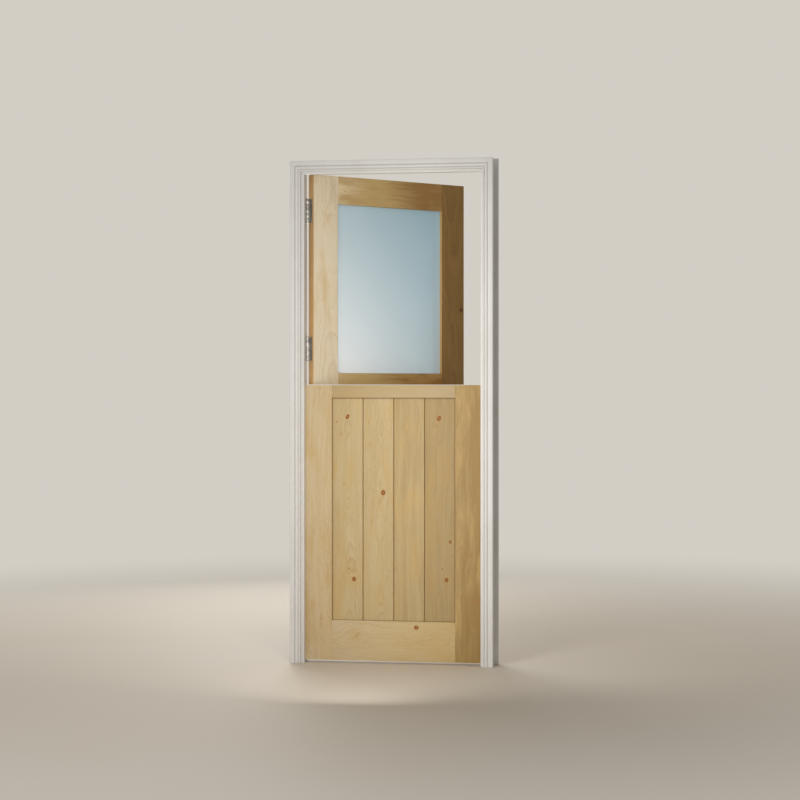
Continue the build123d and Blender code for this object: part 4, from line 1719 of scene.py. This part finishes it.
@dataclass
class Studio:
    """Plain floor, soft lamps and the camera.

    Attributes:
        backdrop: Colour behind everything.
        floor_colour: Colour of the floor.
        floor_radius: Radius of the floor.
        floor_drop: How far the floor lies below the frame's foot.
        floor_sides: Number of sides of the floor.
        floor_solid: Distance from the door where the floor begins to fade.
        floor_gone: Distance where it has gone.
        fill: Strength of the even light.
        fill_colour: Colour of the even light.
    """

    backdrop: Colour = srgb(211, 206, 197)
    floor_colour: Colour = srgb(206, 194, 176)
    floor_radius: float = 9
    floor_drop: float = 0.5 * MM
    floor_sides: int = 64
    floor_solid: float = 0.9
    floor_gone: float = 5.5
    fill: float = 0.4
    fill_colour: Colour = (1.0, 0.99, 0.985)

    def floor(self) -> None:
        """Lays the floor, which fades into the backdrop."""
        shader = Shader("studio_floor")
        cloud = shader.noise(shader.place(), 1.5, 2)
        length = shader.add("ShaderNodeVectorMath", operation="LENGTH")
        shader.feed(length.inputs[0], shader.place())
        clouded = shader.smooth(cloud, 0.3, 0.7, 0, 0.12)
        shader.set(
            Base_Color=shader.blend(clouded, self.floor_colour, self.backdrop),
            Roughness=0.7,
            Alpha=shader.smooth(length.outputs["Value"], self.floor_solid, self.floor_gone, 1, 0),
        )
        angle = np.linspace(0, 2 * math.pi, self.floor_sides, endpoint=False)
        rim = np.column_stack((np.cos(angle), np.sin(angle), np.zeros_like(angle))) * self.floor_radius
        rim[:, 2] = -self.floor_drop
        mesh = bpy.data.meshes.new("studio_floor")
        mesh.from_pydata(rim, [], [list(range(self.floor_sides))])
        floor = add_object("studio_floor", mesh)
        dress(floor, shader.material)

    def world(self) -> None:
        """Lights the room evenly, and shows the backdrop to straight, mirrored and bent rays."""
        world = bpy.data.worlds.new("studio")
        bpy.context.scene.world = world
        world.use_nodes = True
        tree = world.node_tree
        tree.nodes.clear()
        output = tree.nodes.new("ShaderNodeOutputWorld")
        mix = tree.nodes.new("ShaderNodeMixShader")
        paths = tree.nodes.new("ShaderNodeLightPath")
        backdrop_shown = paths.outputs["Is Camera Ray"]
        for ray in ("Is Glossy Ray", "Is Transmission Ray"):
            either = tree.nodes.new("ShaderNodeMath")
            either.operation = "MAXIMUM"
            tree.links.new(backdrop_shown, either.inputs[0])
            tree.links.new(paths.outputs[ray], either.inputs[1])
            backdrop_shown = either.outputs[0]
        tree.links.new(backdrop_shown, mix.inputs[0])
        lights = ((self.fill_colour, self.fill), (self.backdrop, 1))
        for socket, (colour, strength) in zip(mix.inputs[1:], lights):
            light = tree.nodes.new("ShaderNodeBackground")
            light.inputs["Color"].default_value = (*colour, 1)
            light.inputs["Strength"].default_value = strength
            tree.links.new(light.outputs[0], socket)
        tree.links.new(mix.outputs[0], output.inputs["Surface"])

    def build(self) -> None:
        """Sets the whole studio up."""
        bpy.context.scene.view_settings.view_transform = "Standard"
        Camera().stand()
        self.floor()
        self.world()
        for lamp in LAMPS:
            lamp.hang()


# This door's timbers


def lower_leaf_pines() -> dict[str, PineFinish]:
    """The lower leaf's stiles and rails, each with its own figure; their colours darken towards the
    lock side, partly heartwood and partly painted shade.
    """
    return {
        "hinge_stile": PineFinish(
            "pine_lower_hinge_stile",
            LOWER,
            3,
            centre=0.06,
            pith=(0.09, 0.03),
            tone=0.2,
            heart_and_shade_slope=2.0,
        ),
        # Painted shade as well as its own tone: darker colours and a high tone for the shade towards
        # the lock side.
        "lock_stile": PineFinish(
            "pine_lower_lock_stile",
            LOWER,
            8,
            centre=0.705,
            pith=(-0.03, 0.02),
            tone=0.89,
            heart_and_shade_slope=1.5,
            knots=(
                Knot(0.672, 0.486, 6 * MM, 0.18, tilt=-0.6),
                Knot(0.714, 0.456, 5 * MM, 0.18),
                Knot(0.690, 0.443, 5 * MM, 0.0),
                Knot(0.737, 0.268, 6 * MM, 0.15, tilt=0.5),
                Knot(0.702, 0.280, 6 * MM, 0.0),
            ),
            straw=srgb(190, 168, 119),
            honey=srgb(158, 127, 72),
            knot_stain=srgb(172, 124, 64),
        ),
        "bottom_rail": PineFinish(
            "pine_lower_bottom_rail",
            LOWER,
            5,
            Grain.LEVEL,
            centre=0.38,
            pith=(0.0, 0.01),
            tone=0.3,
            heart_and_shade_slope=0.8,
            straw=srgb(200, 176, 125),
            knots=(Knot(0.4815, 0.152, 7.5 * MM), Knot(0.2185, 0.12, 12 * MM, 0.0)),
        ),
        "top_rail": PineFinish(
            "pine_lower_top_rail",
            LOWER,
            12,
            Grain.LEVEL,
            centre=0.38,
            pith=(0.9, 0.06),
            tone=0.5,
            figure=0.4,
            straw=srgb(184, 163, 124),
            golden=srgb(184, 158, 108),
        ),
    }


def board_pines() -> tuple[PineFinish, ...]:
    """The panel's four boards from the hinge side; their tones darken towards the lock side, partly
    their own and partly painted shade.
    """
    knots = (
        (
            Knot(0.1845, 1.026, 7.5 * MM, tilt=-0.35),
            Knot(0.2125, 0.348, 7.5 * MM),
            Knot(0.1375, 1.005, 4 * MM, 0.25),
            Knot(0.1570, 0.953, 5 * MM, 0.15, tilt=-0.8),
            Knot(0.1685, 0.743, 3 * MM, 0.3),
            Knot(0.1885, 0.684, 3 * MM, 0.3),
            Knot(0.1910, 0.392, 3 * MM, 0.5),
        ),
        (
            Knot(0.3375, 0.710, 8.5 * MM),
            Knot(0.3780, 0.573, 5 * MM, 0.0),
            Knot(0.3780, 0.420, 5 * MM, 0.0),
            Knot(0.3780, 0.290, 6 * MM, 0.0),
        ),
        (),
        (
            Knot(0.5755, 1.020, 8 * MM, tilt=-0.35),
            Knot(0.6235, 0.508, 5.5 * MM),
            Knot(0.6075, 0.350, 7.5 * MM),
            Knot(0.5895, 0.395, 3 * MM, 0.9),
            Knot(0.6290, 0.470, 6 * MM, 0.0),
            Knot(0.5570, 0.966, 6 * MM, 0.0, tilt=-0.8),
        ),
    )
    centres = (0.185, 0.317, 0.448, 0.58)
    piths = ((0.0, 0.004), (0.012, 0.012), (0.11, 0.02), (-0.012, 0.006))
    tones = (0.38, 0.4, 0.68, 0.66)
    seeds = (21, 22, 23, 24)
    boards = tuple(
        PineFinish(
            f"pine_board_{number + 1}",
            LOWER,
            seeds[number],
            centre=centres[number],
            pith=piths[number],
            tone=tones[number],
            knots=knots[number],
            straw=srgb(190, 169, 123),
            honey=srgb(161, 133, 86),
        )
        for number in range(4)
    )
    # Painted shade: the lock-side board is given darker colours.
    shaded_lock_board = replace(
        boards[-1],
        pale=srgb(193, 171, 132),
        straw=srgb(175, 153, 107),
        golden=srgb(182, 149, 92),
        honey=srgb(152, 123, 76),
    )
    return (*boards[:-1], shaded_lock_board)


def top_leaf_pines() -> dict[str, PineFinish]:
    """The top leaf's stiles and rails, coloured with painted light and shade: pale near the hinge, dark
    towards the lock side.
    """
    return {
        # Painted light: pale colours for the light on the open leaf's hinge side; the colour on its
        # hinge edge is a darker golden beside it.
        "hinge_stile": PineFinish(
            "pine_top_hinge_stile",
            UPPER,
            31,
            centre=0.06,
            pith=(0.03, 0.08),
            tone=0.05,
            figure=0.34,
            pale=srgb(231, 216, 187),
            straw=srgb(214, 192, 152),
            golden=srgb(214, 184, 126),
            late_wood=srgb(194, 154, 92),
            fleck=srgb(184, 138, 76),
            edge_shading=srgb(222, 176, 112),
            lip_along=UPPER.hinge_edge,
        ),
        # Painted shade: every colour, the knots' too, darkened for the shade on the far side; the
        # colour on its edge is a painted highlight on the reveal turned to the light.
        "lock_stile": PineFinish(
            "pine_top_lock_stile",
            UPPER,
            32,
            centre=0.705,
            pith=(0.0, 0.07),
            tone=0.9,
            heart_and_shade_slope=1.0,
            figure=0.6,
            straw=srgb(154, 122, 70),
            golden=srgb(144, 112, 60),
            honey=srgb(132, 99, 48),
            late_wood=srgb(108, 78, 36),
            fleck=srgb(112, 76, 36),
            knot_heart=srgb(108, 60, 32),
            knot_rim=srgb(82, 44, 22),
            knot_stain=srgb(118, 78, 38),
            edge_shading=srgb(218, 178, 118),
            lip_along=UPPER.lock_sight,
            knots=(
                Knot(0.749, 1.492, 6.5 * MM),
                Knot(0.713, 1.780, 9 * MM, 0.0),
                Knot(0.713, 1.740, 8 * MM, 0.0),
            ),
        ),
        # Painted shade: dark honey and a steep slope darken the rail towards the lock side.
        "bottom_rail": PineFinish(
            "pine_top_bottom_rail",
            UPPER,
            33,
            Grain.LEVEL,
            centre=0.38,
            pith=(1.2, 0.05),
            tone=0.68,
            heart_and_shade_slope=1.7,
            straw=srgb(198, 170, 114),
            honey=srgb(147, 101, 38),
            late_wood=srgb(118, 80, 36),
        ),
        # Painted light and shade: pale near the hinge, darkening steeply towards the lock side.
        "top_rail": PineFinish(
            "pine_top_top_rail",
            UPPER,
            34,
            Grain.LEVEL,
            centre=0.38,
            pith=(1.9, 0.07),
            tone=0.65,
            heart_and_shade_slope=1.95,
            figure=0.4,
            pale=srgb(231, 212, 173),
            straw=srgb(200, 170, 112),
            golden=srgb(180, 144, 84),
            honey=srgb(156, 117, 63),
            late_wood=srgb(126, 88, 44),
            knots=(Knot(0.592, 1.962, 5 * MM, 0.0), Knot(0.299, 1.949, 4 * MM, 0.0)),
        ),
    }


def bead_pines() -> dict[Side, PineFinish]:
    """The glazing beads."""
    return {
        side: PineFinish(
            f"pine_glazing_bead_{side.name.lower()}",
            UPPER,
            41 + number,
            Grain.UPRIGHT if side.value[0] == "upright" else Grain.LEVEL,
            centre=0.38,
            tone=0.35,
        )
        for number, side in enumerate(Side)
    }


def main() -> None:
    """Builds every sub-assembly in order and reports each piece."""
    logging.basicConfig(level=logging.INFO, format="%(message)s")
    finishes = Finishes()
    Frame(finishes).build()
    LeafJoinery("lower_leaf", lower_leaf_pines()).build()
    BoardedPanel(board_pines()).build()
    LeafJoinery("top_leaf", top_leaf_pines()).build()
    Glazing(bead_pines()).build()
    Ironmongery(finishes).build()
    Studio().build()


if __name__ == "__main__":
    main()
